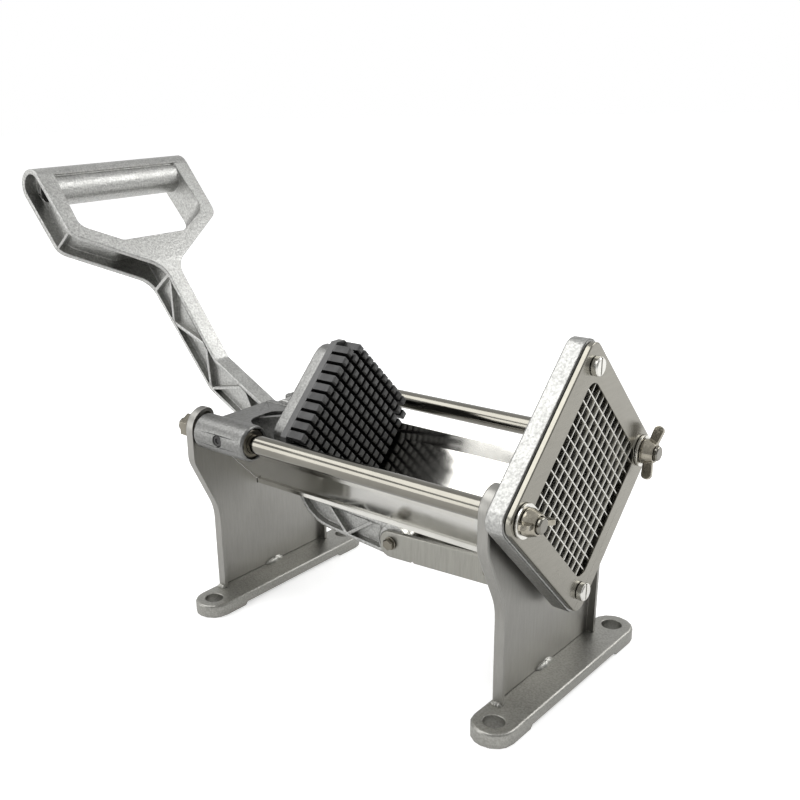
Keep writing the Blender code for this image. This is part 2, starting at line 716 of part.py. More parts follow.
def make_blade(name, place, direction, parent):
    """A strip with a half-depth slot at each crossing, so that the two layers interlock."""
    half_slot = BLADE_THICK / 2 + BLADE_CLEARANCE
    solid_edge, slot_edge = BLADE_REAR, BLADE_FRONT
    if direction < 0:
        solid_edge, slot_edge = BLADE_FRONT, BLADE_REAR
    slot_end = (BLADE_FRONT + BLADE_REAR) / 2 - direction * BLADE_CLEARANCE / 2
    reach = OPENING_HALF + BLADE_SEAT
    outline = [(-reach, solid_edge), (reach, solid_edge), (reach, slot_edge)]
    for crossing in reversed(blade_places()):
        outline += [(crossing + half_slot, slot_edge), (crossing + half_slot, slot_end),
                    (crossing - half_slot, slot_end), (crossing - half_slot, slot_edge)]
    outline.append((-reach, slot_edge))
    slope = math.radians(45 * direction)
    along = Vector((0, math.cos(slope), math.sin(slope)))
    sideways = Vector((0, -math.sin(slope), math.cos(slope)))
    centre = Vector((0, 0, ROD_HEIGHT))

    def in_grid(point, depth):
        return centre + along * point[0] + sideways * depth + Vector((point[1], 0, 0))

    body = prism(outline, place - BLADE_THICK / 2, place + BLADE_THICK / 2, in_grid)
    return add_object(name, body, BRIGHT_STEEL, parent)


def make_frame_screw(name, direction, parent):
    """A slotted screw through the frame into the holder."""
    centre = (0, ROD_HEIGHT + direction * ROD_HALF_SPACING)
    seat = FRAME_FRONT + GAP
    top = seat + SCREW_HEAD_HEIGHT
    body = shaft([(FRAME_FRONT - SCREW_LENGTH, SCREW_RADIUS), (seat, SCREW_RADIUS),
                  (seat, SCREW_HEAD_RADIUS), (top - STUD_EDGE, SCREW_HEAD_RADIUS),
                  (top, SCREW_HEAD_RADIUS - STUD_EDGE)], centre, "X", SMALL_STEPS)
    reach = SCREW_HEAD_RADIUS + OVERRUN
    slot = box((top - SCREW_SLOT_DEPTH, -SCREW_SLOT_WIDTH / 2, centre[1] - reach),
               (top + OVERRUN, SCREW_SLOT_WIDTH / 2, centre[1] + reach))
    return add_object(name, combine(name, body, [("DIFFERENCE", slot)]), BRIGHT_STEEL, parent)


def make_washer(name, side, parent):
    """A plain washer under a wing nut."""
    centre = (side * ROD_HALF_SPACING, ROD_HEIGHT)
    body = perforated(circle(centre, WASHER_RADIUS), [circle(centre, STUD_RADIUS + GAP)],
                      WASHER_REAR, WASHER_REAR + WASHER_THICK, across_x)
    return add_object(name, body, BRIGHT_STEEL, parent)


def make_wing_nut(name, side, turn, parent):
    """A wing nut; its origin is on the rod's axis, which it turns about."""
    base = shaft([(0, WING_BASE_RADIUS), (WING_BASE_HEIGHT * 0.3, WING_BASE_RADIUS),
                  (WING_BASE_HEIGHT, WING_TOP_RADIUS)], (0, 0), "X", SMALL_STEPS)
    steps = []
    for direction in (-1, 1):
        wing = fillet([(WING_ROOT_LOW, direction * STUD_RADIUS, 0),
                       (WING_TIP_LOW, direction * WING_SPAN_HALF, WING_TIP_ROUND),
                       (WING_TIP_HIGH, direction * WING_SPAN_HALF, WING_TIP_ROUND),
                       (WING_ROOT_HIGH, direction * STUD_RADIUS, 0)])
        steps.append(("UNION", prism(wing, -WING_THICK / 2, WING_THICK / 2, across_z)))
    bore = prism(circle((0, 0), STUD_RADIUS + GAP), -OVERRUN, WING_TIP_HIGH + OVERRUN, across_x)
    steps.append(("DIFFERENCE", bore))
    place = (WING_NUT_REAR, side * ROD_HALF_SPACING, ROD_HEIGHT)
    return add_object(name, combine(name, base, steps), BRIGHT_STEEL, parent, place, (math.radians(turn), 0, 0))


def tooth_places():
    """The middle of each tooth in the grid; the four corners have none."""
    lines = [(index + 0.5 - BLADE_CELLS / 2) * BLADE_PITCH for index in range(BLADE_CELLS)]
    ends = (lines[0], lines[-1])
    return [(across, up) for across in lines for up in lines if not (across in ends and up in ends)]


def make_pusher_block(name, parent, place):
    """The moulded block: a base plate with a tooth for each cell of the blade grid."""
    solid = bmesh.new()
    base = turned(fillet(square_corners(BLOCK_SIDE / 2, BLOCK_CORNER), 1))
    front_ring = [solid.verts.new(across_x(point, BLOCK_FRONT)) for point in base]
    back_ring = [solid.verts.new(across_x(point, BLOCK_BACK)) for point in base]
    for index in range(len(base)):
        solid.faces.new((back_ring[index - 1], back_ring[index], front_ring[index], front_ring[index - 1]))
    solid.faces.new(back_ring)
    edges = [solid.edges.get((front_ring[index - 1], front_ring[index])) for index in range(len(base))]
    tip = BLOCK_FRONT + TOOTH_LENGTH
    for across, up in tooth_places():
        rings = []
        for half, depth in ((TOOTH_HALF, BLOCK_FRONT), (TOOTH_HALF, tip - TOOTH_EDGE),
                            (TOOTH_HALF - TOOTH_EDGE, tip)):
            ring = turned([(across + half, up + half), (across - half, up + half),
                           (across - half, up - half), (across + half, up - half)])
            rings.append([solid.verts.new(across_x(point, depth)) for point in ring])
        for lower, upper in zip(rings, rings[1:]):
            for index in range(4):
                solid.faces.new((lower[index - 1], lower[index], upper[index], upper[index - 1]))
        solid.faces.new(rings[-1])
        edges += [solid.edges.get((rings[0][index - 1], rings[0][index])) for index in range(4)]
    bmesh.ops.triangle_fill(solid, use_beauty=True, use_dissolve=False, edges=edges)
    bmesh.ops.recalc_face_normals(solid, faces=solid.faces)
    between = box((BLOCK_BACK - OVERRUN, -BLOCK_REACH, ROD_HEIGHT - BLOCK_SIDE),
                  (tip + OVERRUN, BLOCK_REACH, ROD_HEIGHT + BLOCK_SIDE))
    return add_object(name, combine(name, solid, [("INTERSECT", between)]), BLACK_PLASTIC, parent, place)


def sleeve_axis(side):
    """Where a sleeve's axis crosses the Y-Z plane."""
    return (side * ROD_HALF_SPACING, ROD_HEIGHT)


def wing_top(side):
    """The flat top of a wing, from a sleeve to its lug, with a curved front edge."""
    sleeve_inner = side * (ROD_HALF_SPACING - SLEEVE_RADIUS / 2)
    lug = side * (LUG_OUTER - OVERLAP)
    outline = fillet([(WING_REAR, side * ROD_HALF_SPACING, 0),
                      (SLEEVE_FRONT - WING_INSET, side * ROD_HALF_SPACING, 0),
                      (SLEEVE_FRONT - WING_INSET, sleeve_inner, 0),
                      (WING_FRONT, sleeve_inner - side * WING_FILLET, WING_FILLET),
                      (WING_FRONT, side * (LUG_OUTER + WING_FILLET), WING_FILLET / 2),
                      (PLATE_BACK - WING_INSET, lug, 0), (WING_REAR, lug, 0)])
    return prism(outline, LUG_TOP - WING_THICK_UP, LUG_TOP - STEP, across_z)


def wing_rib(side):
    """The upright rib under the rear edge of a wing."""
    ends = sorted((side * (LUG_OUTER - OVERLAP), side * (ROD_HALF_SPACING - SLEEVE_RADIUS / 2)))
    return box((WING_REAR + STEP, ends[0], LUG_TOP - WING_RIB_HEIGHT),
               (WING_REAR + WING_RIB_THICK, ends[1], LUG_TOP - WING_THICK_UP / 2))


def gusset(side):
    """The upright rib from a wing to the face plate."""
    ends = sorted((side * GUSSET_PLACE, side * (GUSSET_PLACE + GUSSET_THICK)))
    outline = [(WING_REAR + WING_RIB_THICK / 2, LUG_TOP - WING_THICK_UP + STEP),
               (WING_FRONT - STEP, LUG_TOP - WING_THICK_UP / 2 + STEP),
               (PLATE_BACK + OVERLAP, LUG_TOP + GUSSET_RISE),
               (PLATE_BACK + OVERLAP, LUG_TOP - GUSSET_DROP),
               (WING_REAR + WING_RIB_THICK / 2, LUG_TOP - WING_RIB_HEIGHT + OVERLAP)]
    return prism(outline, ends[0], ends[1], across_y)


def lug_outline():
    """Side view of a lug: a round end about the pivot, spreading to the plate."""
    around = arc((PIVOT.x, PIVOT.z), LUG_RADIUS, 180, 270, SMALL_STEPS // 2)
    rear = WING_REAR + STEP * 2
    return [(PIVOT.x, LUG_TOP), (rear, LUG_TOP), (rear, PIVOT.z)] + around + [
        (PLATE_BACK + OVERLAP, ROD_HEIGHT - LUG_ROOT_HALF), (PLATE_BACK + OVERLAP, ROD_HEIGHT + LUG_ROOT_HALF)]


def make_carriage(name, parent, place):
    """The casting: a face plate, two sleeves, two wings with ribs, and two lugs for the lever."""
    plate = edged_prism(diamond(PLATE_SIDE / 2, PLATE_CORNER), PLATE_BACK, PLATE_FRONT, across_x, PLATE_EDGE, 0)
    steps = []
    for side in (-1, 1):
        inner, outer = sorted((side * LUG_INNER, side * LUG_OUTER))
        sleeve = edged_prism(circle(sleeve_axis(side), SLEEVE_RADIUS), SLEEVE_REAR, SLEEVE_FRONT,
                             across_x, SLEEVE_EDGE, SLEEVE_EDGE)
        steps += [("UNION", prism(lug_outline(), inner, outer, across_y)), ("UNION", gusset(side)),
                  ("UNION", wing_rib(side)), ("UNION", wing_top(side)), ("UNION", sleeve)]
    for side in (-1, 1):
        bore = circle(sleeve_axis(side), SLEEVE_BORE)
        steps.append(("DIFFERENCE", prism(bore, SLEEVE_REAR - OVERRUN, SLEEVE_FRONT + OVERRUN, across_x)))
        start, end = sorted((side * ROD_HALF_SPACING, side * (ROD_HALF_SPACING + SLEEVE_RADIUS + OVERRUN)))
        hole = circle(((SLEEVE_REAR + SLEEVE_FRONT) / 2, ROD_HEIGHT), SET_SCREW_RADIUS + GAP, SMALL_STEPS)
        steps.append(("DIFFERENCE", prism(hole, start, end, across_y)))
    pivot_hole = circle((PIVOT.x, PIVOT.z), PIVOT_RADIUS + RUNNING_GAP)
    steps.append(("DIFFERENCE", prism(pivot_hole, -LUG_OUTER - OVERRUN, LUG_OUTER + OVERRUN, across_y)))
    return add_object(name, combine(name, plate, steps), CAST_ALUMINIUM, parent, place)


def make_bushing(name, side, parent, place):
    """The lining of a sleeve, in which the rod slides."""
    centre = sleeve_axis(side)
    start = SLEEVE_REAR + BUSH_RECESS
    end = SLEEVE_FRONT - BUSH_RECESS
    body = edged_prism(circle(centre, SLEEVE_BORE - GAP), start, end, across_x, BUSH_EDGE, BUSH_EDGE)
    bore = prism(circle(centre, ROD_RADIUS + RUNNING_GAP), start - OVERRUN, end + OVERRUN, across_x)
    return add_object(name, combine(name, body, [("DIFFERENCE", bore)]), DULL_STEEL, parent, place)


def make_set_screw(name, side, parent, place):
    """The headless screw in a sleeve's outer side, down on the bushing."""
    centre = ((SLEEVE_REAR + SLEEVE_FRONT) / 2, ROD_HEIGHT)
    foot = ROD_HALF_SPACING + SLEEVE_BORE
    top = foot + SET_SCREW_LENGTH
    start, end = sorted((side * foot, side * top))
    body = prism(circle(centre, SET_SCREW_RADIUS, SMALL_STEPS), start, end, across_y)
    low, high = sorted((side * (top - SET_SCREW_SOCKET_DEPTH), side * (top + OVERRUN)))
    socket = prism(hexagon(centre, SET_SCREW_SOCKET), low, high, across_y)
    return add_object(name, combine(name, body, [("DIFFERENCE", socket)]), BLACK_STEEL, parent, place)


def make_pivot_pin(name, parent, place):
    """The headed pin through the lugs and the lever's upper hub."""
    head = LUG_OUTER + GAP
    tip = head + PIVOT_HEAD_THICK
    body = shaft([(-tip, PIVOT_HEAD_RADIUS - STUD_EDGE), (-tip + STUD_EDGE, PIVOT_HEAD_RADIUS),
                  (-head, PIVOT_HEAD_RADIUS), (-head, PIVOT_RADIUS), (tip - STUD_EDGE, PIVOT_RADIUS),
                  (tip, PIVOT_RADIUS - STUD_EDGE)], (PIVOT.x, PIVOT.z), "Y")
    return add_object(name, body, BRIGHT_STEEL, parent, place)


def make_pivot_ring(name, parent, place):
    """The ring that keeps the pin in its lugs."""
    centre = (PIVOT.x, PIVOT.z)
    start = LUG_OUTER + GAP
    body = perforated(circle(centre, PIVOT_HEAD_RADIUS), [circle(centre, PIVOT_RADIUS + RUNNING_GAP)],
                      start, start + PIVOT_HEAD_THICK / 2, across_y)
    return add_object(name, body, BRIGHT_STEEL, parent, place)


def on_arm(along, depth):
    """A point of the lever's side view, along its upper arm and behind the arm's front face."""
    return tuple(ARM_MARK + ALONG_ARM * along - OUT_OF_ARM * depth)


def crossing(first, first_direction, second, second_direction):
    """Where two lines of the side view meet."""
    share = (second - first).cross(second_direction) / first_direction.cross(second_direction)
    return first + first_direction * share


def forearm_frame():
    """The bend at the front of the forearm, its direction to the pivot, and the direction across it."""
    bend = Vector((-BEND_BACK, BEND_UP))
    along = (Vector((-SHOULDER_BACK, SHOULDER_UP)) - bend).normalized()
    return bend, along, Vector((along.y, -along.x))


def lever_corners(top):
    """Corners of the lever's side view with their fillets, up to a place on the arm, hubs left out."""
    bend, along, across = forearm_frame()
    under = bend + across * FOREARM_DEPTH
    rear_bend = crossing(Vector(on_arm(0, LEVER_DEPTH)), ALONG_ARM, under, along)
    hock = crossing(under, along, Vector((0, 0)), Vector((0, 1)))
    taper_end = Vector(on_arm(HANDLE_TAPER_END, 0))
    front = [crossing(bend, taper_end - bend, Vector(on_arm(top, 0)), OUT_OF_ARM)]
    if top > HANDLE_TAPER_END:
        front = [Vector(on_arm(top, 0)), taper_end]
    return [tuple(point) + (0,) for point in front] + [
            (-BEND_BACK, BEND_UP, BEND_FILLET),
            (-SHOULDER_BACK, SHOULDER_UP, 0), (0, SHOULDER_UP, 0),
            (NECK_FRONT_X, -NECK_FRONT_DROP, NECK_FILLET), (CROOK_X, -CROOK_DROP, CROOK_FILLET),
            (ELBOW_X, ELBOW_TOP - ELBOW_DROP, 0), (ELBOW_X, -ELBOW_BOTTOM - ELBOW_DROP, 0),
            (HEEL_X, -HEEL_DROP, HEEL_FILLET), tuple(hock) + (HOCK_FILLET,),
            tuple(rear_bend) + (REAR_BEND_FILLET,), on_arm(top, LEVER_DEPTH) + (0,)]


def lever_outline():
    """The side view of the lever without its hubs, with the handle's round top."""
    round_top = []
    for step in range(1, ROUND_TOP_STEPS):
        angle = math.pi * step / ROUND_TOP_STEPS
        place = HANDLE_ROUND_PLACE + HANDLE_ROUND * math.sin(angle)
        round_top.append(on_arm(place, HANDLE_ROUND * (1 + math.cos(angle))))
    return fillet(lever_corners(HANDLE_ROUND_PLACE)) + round_top


def inset_corners(corners, inset):
    """Move an outline's corners inwards and fit their fillets to the move."""
    places = [corner[:2] for corner in corners]
    turn = 1 if signed_area(places) > 0 else -1
    moved = shrink(places, inset)
    result = []
    for index, place in enumerate(moved):
        here = Vector(places[index])
        before = here - Vector(places[index - 1])
        after = Vector(places[(index + 1) % len(places)]) - here
        radius = corners[index][2]
        if radius:
            convex = before.cross(after) * turn > 0
            radius = max(radius - inset, inset) if convex else radius + inset
        result.append(place + (radius,))
    return result


def bar(start, end, width):
    """A straight bar of the side view from one point to another."""
    side = (end - start).normalized().orthogonal() * width / 2
    return [tuple(start + side), tuple(end + side), tuple(end - side), tuple(start - side)]


def rib_bars():
    """The zigzag of ribs on the upper arm, the forearm and the lower arm, with the bar at the top."""
    bend, along, across = forearm_frame()
    limbs = [(UPPER_RIB_SHARES, ARM_MARK, ALONG_ARM, -OUT_OF_ARM),
             (FOREARM_RIB_SHARES, bend, along, across),
             (LOWER_RIB_SHARES, Vector((ELBOW_X, ELBOW_TOP - ELBOW_DROP)), Vector((-1, 0)), Vector((0, -1)))]
    bars = []
    for shares, origin, direction, sideways in limbs:
        nodes = [origin + (direction * length + sideways * depth) * LEVER_DEPTH for length, depth in shares]
        bars += [bar(first, second, LEVER_RIB) for first, second in zip(nodes, nodes[1:])]
    return bars


def lever_pocket(side):
    """What is taken out of one face of the lever, down to its web, before the ribs are put in."""
    outline = fillet(inset_corners(lever_corners(POCKET_TOP + LEVER_FLANGE), LEVER_FLANGE))
    ends = sorted((side * LEVER_WEB_HALF, side * (LEVER_HALF_WIDTH + OVERRUN)))
    beyond = sorted((0, side * (LEVER_HALF_WIDTH + OVERRUN * 2)))
    boss = prism(circle((ELBOW_X, -ELBOW_DROP), ELBOW_BOSS_RADIUS), beyond[0], beyond[1], across_y)
    return combine("pocket", prism(outline, ends[0], ends[1], across_y), [("DIFFERENCE", boss)])


def on_handle(point, depth):
    """A point of the handle's face, across and along the arm, at a depth behind the front face."""
    spot = ARM_MARK + ALONG_ARM * point[1] - OUT_OF_ARM * depth
    return Vector((spot.x, point[0], spot.y))


def mirrored(half):
    """An outline of which only the far half is given."""
    return half + [(-corner[0],) + tuple(corner[1:]) for corner in reversed(half)]


def handle_cavity(side):
    """The hollow in one side of the handle, open outwards, round the window's wall."""
    wall = HANDLE_SKIN
    slope = math.atan2(WINDOW_SHOULDER - WINDOW_FLOOR, WINDOW_SHOULDER_HALF - WINDOW_FLOOR_HALF)
    floor_shift = wall * math.tan(slope / 2)
    shoulder_shift = wall * math.tan((math.radians(90) - slope) / 2)
    beyond = HANDLE_HALF_WIDTH + OVERRUN
    outline = fillet([(LEVER_WEB_HALF, HANDLE_CAVITY_START, 0), (LEVER_WEB_HALF, WINDOW_FLOOR - wall, wall),
                      (WINDOW_FLOOR_HALF + floor_shift, WINDOW_FLOOR - wall, WINDOW_FLOOR_FILLET + wall),
                      (WINDOW_SHOULDER_HALF + wall, WINDOW_SHOULDER - shoulder_shift,
                       WINDOW_SHOULDER_FILLET + wall),
                      (WINDOW_TOP_HALF + wall, HANDLE_ROUND_PLACE, 0), (beyond, HANDLE_ROUND_PLACE, 0),
                      (beyond, HANDLE_CAVITY_START, 0)])
    outline = [(side * across, along) for across, along in outline]
    return prism(outline, HANDLE_SKIN, LEVER_DEPTH - HANDLE_SKIN, on_handle)


def make_lever(name, parent, place):
    """The lever: a pocketed I-section arm with two hubs, and a hollow-sided D handle across its end."""
    beyond = HANDLE_HALF_WIDTH + OVERRUN
    body = prism(lever_outline(), -beyond, beyond, across_y)
    past_elbow = -(ELBOW_X + ELBOW_DROP + ARM_MARK_BACK + ARM_MARK_UP)
    past_top = HANDLE_ROUND_PLACE + LEVER_DEPTH
    face = fillet(mirrored([(LEVER_HALF_WIDTH, past_elbow, 0), (LEVER_HALF_WIDTH, HANDLE_NECK, HANDLE_NECK_FILLET),
                            (HANDLE_SHOULDER_HALF, HANDLE_SHOULDER, HANDLE_SHOULDER_FILLET),
                            (HANDLE_HALF_WIDTH, past_top, 0)]))
    window = fillet(mirrored([(WINDOW_FLOOR_HALF, WINDOW_FLOOR, WINDOW_FLOOR_FILLET),
                              (WINDOW_SHOULDER_HALF, WINDOW_SHOULDER, WINDOW_SHOULDER_FILLET),
                              (WINDOW_TOP_HALF, WINDOW_TOP, 0)]))
    steps = [("INTERSECT", prism(face, past_elbow, -past_elbow, on_handle)),
             ("DIFFERENCE", prism(window, -OVERRUN, LEVER_DEPTH + OVERRUN, on_handle))]
    round_centre = on_arm(HANDLE_ROUND_PLACE, HANDLE_ROUND)
    grip_centre = on_arm(GRIP_PLACE, HANDLE_ROUND)
    wall_middle = WINDOW_TOP_HALF + HANDLE_SKIN / 2
    for side in (-1, 1):
        ends = sorted((side * (WINDOW_TOP_HALF + HANDLE_SKIN), side * beyond))
        end_hollow = prism(circle(round_centre, HANDLE_ROUND - HANDLE_SKIN), ends[0], ends[1], across_y)
        steps += [("DIFFERENCE", handle_cavity(side)), ("DIFFERENCE", end_hollow)]
    steps.append(("UNION", prism(circle(grip_centre, GRIP_RADIUS), -wall_middle, wall_middle, across_y)))
    steps.append(("DIFFERENCE", prism(circle(grip_centre, GRIP_BORE), -beyond, beyond, across_y)))
    steps += [("DIFFERENCE", lever_pocket(-1)), ("DIFFERENCE", lever_pocket(1))]
    rib_half = LEVER_HALF_WIDTH - STEP
    steps += [("UNION", prism(rib, -rib_half, rib_half, across_y)) for rib in rib_bars()]
    reach = LEVER_HUB_HALF + OVERRUN
    for centre, radius, hole in (((0, 0), LEVER_HUB_RADIUS, PIVOT_RADIUS),
                                 ((ELBOW_X, -ELBOW_DROP), ELBOW_HUB_RADIUS, BOLT_RADIUS)):
        steps.append(("UNION", prism(circle(centre, radius), -LEVER_HUB_HALF, LEVER_HUB_HALF, across_y)))
        steps.append(("DIFFERENCE", prism(circle(centre, hole + RUNNING_GAP), -reach, reach, across_y)))
    return add_object(name, combine(name, body, steps), CAST_ALUMINIUM, parent, place)


def make_bolt(name, side, far_end, parent, place):
    """A hexagon bolt with a flange, its origin on its axis in the middle plane."""
    seat = CHEEK_OUTER + GAP
    top = seat + BOLT_WASHER_THICK + BOLT_HEAD_HEIGHT
    ends = sorted((side * seat, side * (seat + BOLT_WASHER_THICK)))
    flange = prism(circle((0, 0), BOLT_WASHER_RADIUS, SMALL_STEPS), ends[0], ends[1], across_y)
    ends = sorted((side * (seat + OVERLAP / 2), side * top))
    head = edged_prism(hexagon((0, 0), BOLT_HEAD_HALF_FLATS), ends[0], ends[1], across_y,
                       NUT_EDGE if side < 0 else 0, NUT_EDGE if side > 0 else 0)
    ends = sorted((side * far_end, side * (seat + OVERLAP / 2)))
    shank = prism(circle((0, 0), BOLT_RADIUS, SMALL_STEPS), ends[0], ends[1], across_y)
    body = combine(name, flange, [("UNION", head), ("UNION", shank)])
    return add_object(name, body, BRIGHT_STEEL, parent, place)


def make_bolt_nut(name, parent, place):
    """The nut on the far end of the lower pivot's bolt."""
    start = CHEEK_OUTER + GAP
    body = edged_prism(hexagon((0, 0), BOLT_HEAD_HALF_FLATS), start, start + BOLT_HEAD_HEIGHT, across_y, 0, NUT_EDGE)
    bore = prism(circle((0, 0), BOLT_RADIUS + RUNNING_GAP, SMALL_STEPS), start - OVERRUN,
                 start + BOLT_HEAD_HEIGHT + OVERRUN, across_y)
    return add_object(name, combine(name, body, [("DIFFERENCE", bore)]), BRIGHT_STEEL, parent, place)


def make_link(name, parent, place):
    """The link: two cheeks joined along their lower edge, folded from one sheet."""
    nose = LINK_LENGTH + LINK_NOSE
    outline = fillet([(-LINK_NOSE, LINK_TOP, LINK_NOSE_FILLET), (-LINK_NOSE, -LINK_BOTTOM, LINK_NOSE_FILLET),
                      (nose, -LINK_BOTTOM, LINK_NOSE_FILLET), (nose, LINK_TOP, LINK_NOSE_FILLET)])
    body = edged_prism(outline, -CHEEK_OUTER, CHEEK_OUTER, across_y, LINK_FOLD / 2, LINK_FOLD / 2)
    beyond = LINK_BOTTOM + OVERRUN
    web_end = LINK_LENGTH - LINK_WEB_END
    web_top = LINK_SHEET - LINK_BOTTOM
    channel = fillet([(-beyond, beyond, 0), (LINK_LENGTH + beyond, beyond, 0), (LINK_LENGTH + beyond, -beyond, 0),
                      (web_end, -beyond, 0), (web_end, web_top, LINK_FOLD),
                      (LINK_WEB_START, web_top, LINK_FOLD), (LINK_WEB_START, -beyond, 0),
                      (-beyond, -beyond, 0)])
    steps = [("DIFFERENCE", prism(channel, -LINK_CHEEK_INNER, LINK_CHEEK_INNER, across_y))]
    relief = circle((LINK_RELIEF, -LINK_BOTTOM), LINK_RELIEF_RADIUS, SMALL_STEPS)
    steps.append(("DIFFERENCE", prism(relief, -CHEEK_OUTER - OVERRUN, CHEEK_OUTER + OVERRUN, across_y)))
    for centre in ((0, 0), (LINK_LENGTH, 0)):
        bore = circle(centre, BOLT_RADIUS + RUNNING_GAP, SMALL_STEPS)
        steps.append(("DIFFERENCE", prism(bore, -CHEEK_OUTER - OVERRUN, CHEEK_OUTER + OVERRUN, across_y)))
    return add_object(name, combine(name, body, steps), SATIN_STEEL, parent, place, (0, -LINK_ANGLE, 0))


def make_bracket(name, parent):
    """The bracket on the front leg's back: a base and a tongue with the fixed pivot's hole."""
    front = LEG_BACK - GAP
    rear = front - BRACKET_BASE
    base = box((rear, -BRACKET_HALF_WIDTH, LINK_END.z - BRACKET_BOTTOM),
               (front, BRACKET_HALF_WIDTH, LINK_END.z + BRACKET_TOP))
    tongue = arc((LINK_END.x, LINK_END.z), TONGUE_RADIUS, 90, 270, SMALL_STEPS)
    tongue += [(rear + OVERLAP, LINK_END.z - TONGUE_RADIUS), (rear + OVERLAP, LINK_END.z + TONGUE_RADIUS)]
    bore = circle((LINK_END.x, LINK_END.z), BOLT_RADIUS + GAP, SMALL_STEPS)
    steps = [("UNION", prism(tongue, -TONGUE_HALF, TONGUE_HALF, across_y)),
             ("DIFFERENCE", prism(bore, -TONGUE_HALF - OVERRUN, TONGUE_HALF + OVERRUN, across_y))]
    return add_object(name, combine(name, base, steps), SATIN_STEEL, parent)


def build():
    """Make every piece of the machine in its place."""
    clear_scene()
    root = add_empty("machine", (-MACHINE_MIDDLE, 0, 0))
    make_foot("front_foot", root, (0, 0, 0))
    make_foot("rear_foot", root, (-LEG_SPACING, 0, 0))
    make_leg("front_leg", root, (0, 0, 0))
    make_leg("rear_leg", root, (-LEG_SPACING, 0, 0))
    make_blade_holder("blade_holder", root)
    make_blade_frame("blade_frame", root)
    for index, offset in enumerate(blade_places(), 1):
        make_blade(f"blade_a_{index:02d}", offset, 1, root)
        make_blade(f"blade_b_{index:02d}", offset, -1, root)
    make_frame_screw("frame_screw_top", 1, root)
    make_frame_screw("frame_screw_bottom", -1, root)
    make_bracket("link_bracket", root)
    slider = add_empty("carriage_slide", PIVOT)
    slider.parent = root
    home = -PIVOT
    make_carriage("carriage", slider, home)
    make_pusher_block("pusher_block", slider, home)
    make_pivot_pin("pivot_pin", slider, home)
    make_pivot_ring("pivot_ring", slider, home)
    for side, word, turn in ((-1, "near", WING_NEAR_TURN), (1, "far", WING_FAR_TURN)):
        make_trough_panel("trough_panel_" + word, side, root)
        make_rod("guide_rod_" + word, side, root)
        make_rear_nut("rear_nut_" + word, side, root)
        make_washer("washer_" + word, side, root)
        make_wing_nut("wing_nut_" + word, side, turn, root)
        make_bushing("bushing_" + word, side, slider, home)
        make_set_screw("set_screw_" + word, side, slider, home)
        make_bolt("bracket_bolt_" + word, side, TONGUE_HALF + GAP * 2, root, LINK_END)
    make_lever("lever", root, PIVOT)
    make_link("link", root, ELBOW)
    make_bolt("elbow_bolt", -1, -CHEEK_OUTER - GAP - BOLT_HEAD_HEIGHT - BOLT_END, root, ELBOW)
    make_bolt_nut("elbow_nut", root, ELBOW)


build()
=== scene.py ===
"""Finishes, welds, small trim and stage for the potato cutter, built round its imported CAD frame.

The frame's own nodes carry the shapes. This file rounds their edges, gives each one a finish, adds the
small things that are left to the looks, and sets up the floor, the lights and the camera. All lengths
are in metres.
"""

import math

import bmesh
import bpy
from mathutils import Matrix, Vector


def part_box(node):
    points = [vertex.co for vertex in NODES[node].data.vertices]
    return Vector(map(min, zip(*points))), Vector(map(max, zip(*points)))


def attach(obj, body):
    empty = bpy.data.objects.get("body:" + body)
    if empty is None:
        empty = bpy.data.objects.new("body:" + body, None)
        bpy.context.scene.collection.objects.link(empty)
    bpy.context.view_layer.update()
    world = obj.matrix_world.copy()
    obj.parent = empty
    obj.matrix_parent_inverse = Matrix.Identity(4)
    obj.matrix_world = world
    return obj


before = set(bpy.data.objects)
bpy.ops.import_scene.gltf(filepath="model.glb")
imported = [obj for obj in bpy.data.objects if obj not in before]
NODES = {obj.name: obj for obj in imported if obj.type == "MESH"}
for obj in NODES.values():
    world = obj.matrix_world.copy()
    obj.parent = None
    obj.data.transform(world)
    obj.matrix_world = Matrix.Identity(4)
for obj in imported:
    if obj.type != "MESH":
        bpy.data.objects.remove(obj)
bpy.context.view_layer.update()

bl_info = {
    "name": "Potato Cutter Looks",
    "version": (1, 0, 0),
    "blender": (4, 5, 0),
    "location": "3D View > Sidebar > Potato Cutter",
    "description": "Finishes, welds, small trim and studio for the potato cutter",
    "category": "Object",
}

MERGE_DISTANCE = 0.00001
SHARP_ANGLE = math.radians(28)

SATIN_NODES = ("front_leg", "rear_leg", "link_bracket")
CAST_NODES = ("lever", "blade_holder")
FOOT_NODES = ("front_foot", "rear_foot")
TROUGH_NODES = ("trough_panel_near", "trough_panel_far")
ROD_NODES = ("guide_rod_near", "guide_rod_far")
BLADE_NODES = tuple(sorted(name for name in NODES if name.startswith(("blade_a_", "blade_b_"))))
BUSHING_NODES = ("bushing_near", "bushing_far")
SET_SCREW_NODES = ("set_screw_near", "set_screw_far")
SCREW_NODES = ("frame_screw_top", "frame_screw_bottom", "washer_near", "washer_far")
FASTENER_NODES = ("rear_nut_near", "rear_nut_far", "pivot_pin", "pivot_ring", "elbow_bolt", "elbow_nut",
                  "bracket_bolt_near", "bracket_bolt_far")
WING_NODES = ("wing_nut_near", "wing_nut_far")

# Places and sizes of the CAD's pieces that the trim follows
TOOTH_LENGTH = 0.0115           # the pusher's teeth
LEG_SHEET = 0.0022
LEG_FOOT_HALF = 0.0485          # from the middle to a leg's outside, at the foot
OPENING_SIDE = 0.0759           # length of a blade's front edge, just short of the frame's passage
BLADES_EACH_SIDE = 5            # beside the middle blade
BLADE_TURNS = (("a", math.radians(45)), ("b", math.radians(-45)))
ELBOW = (0.066062, 0, 0.054)
HUB_RADIUS = 0.0104
ARM_MARK = (-0.098238, 0, 0.1701)               # where the arm's own coordinates start
ALONG_ARM = (-0.637424, 0, 0.770513)
INTO_ARM = (-0.770513, 0, -0.637424)
ARM_DEPTH = 0.0220

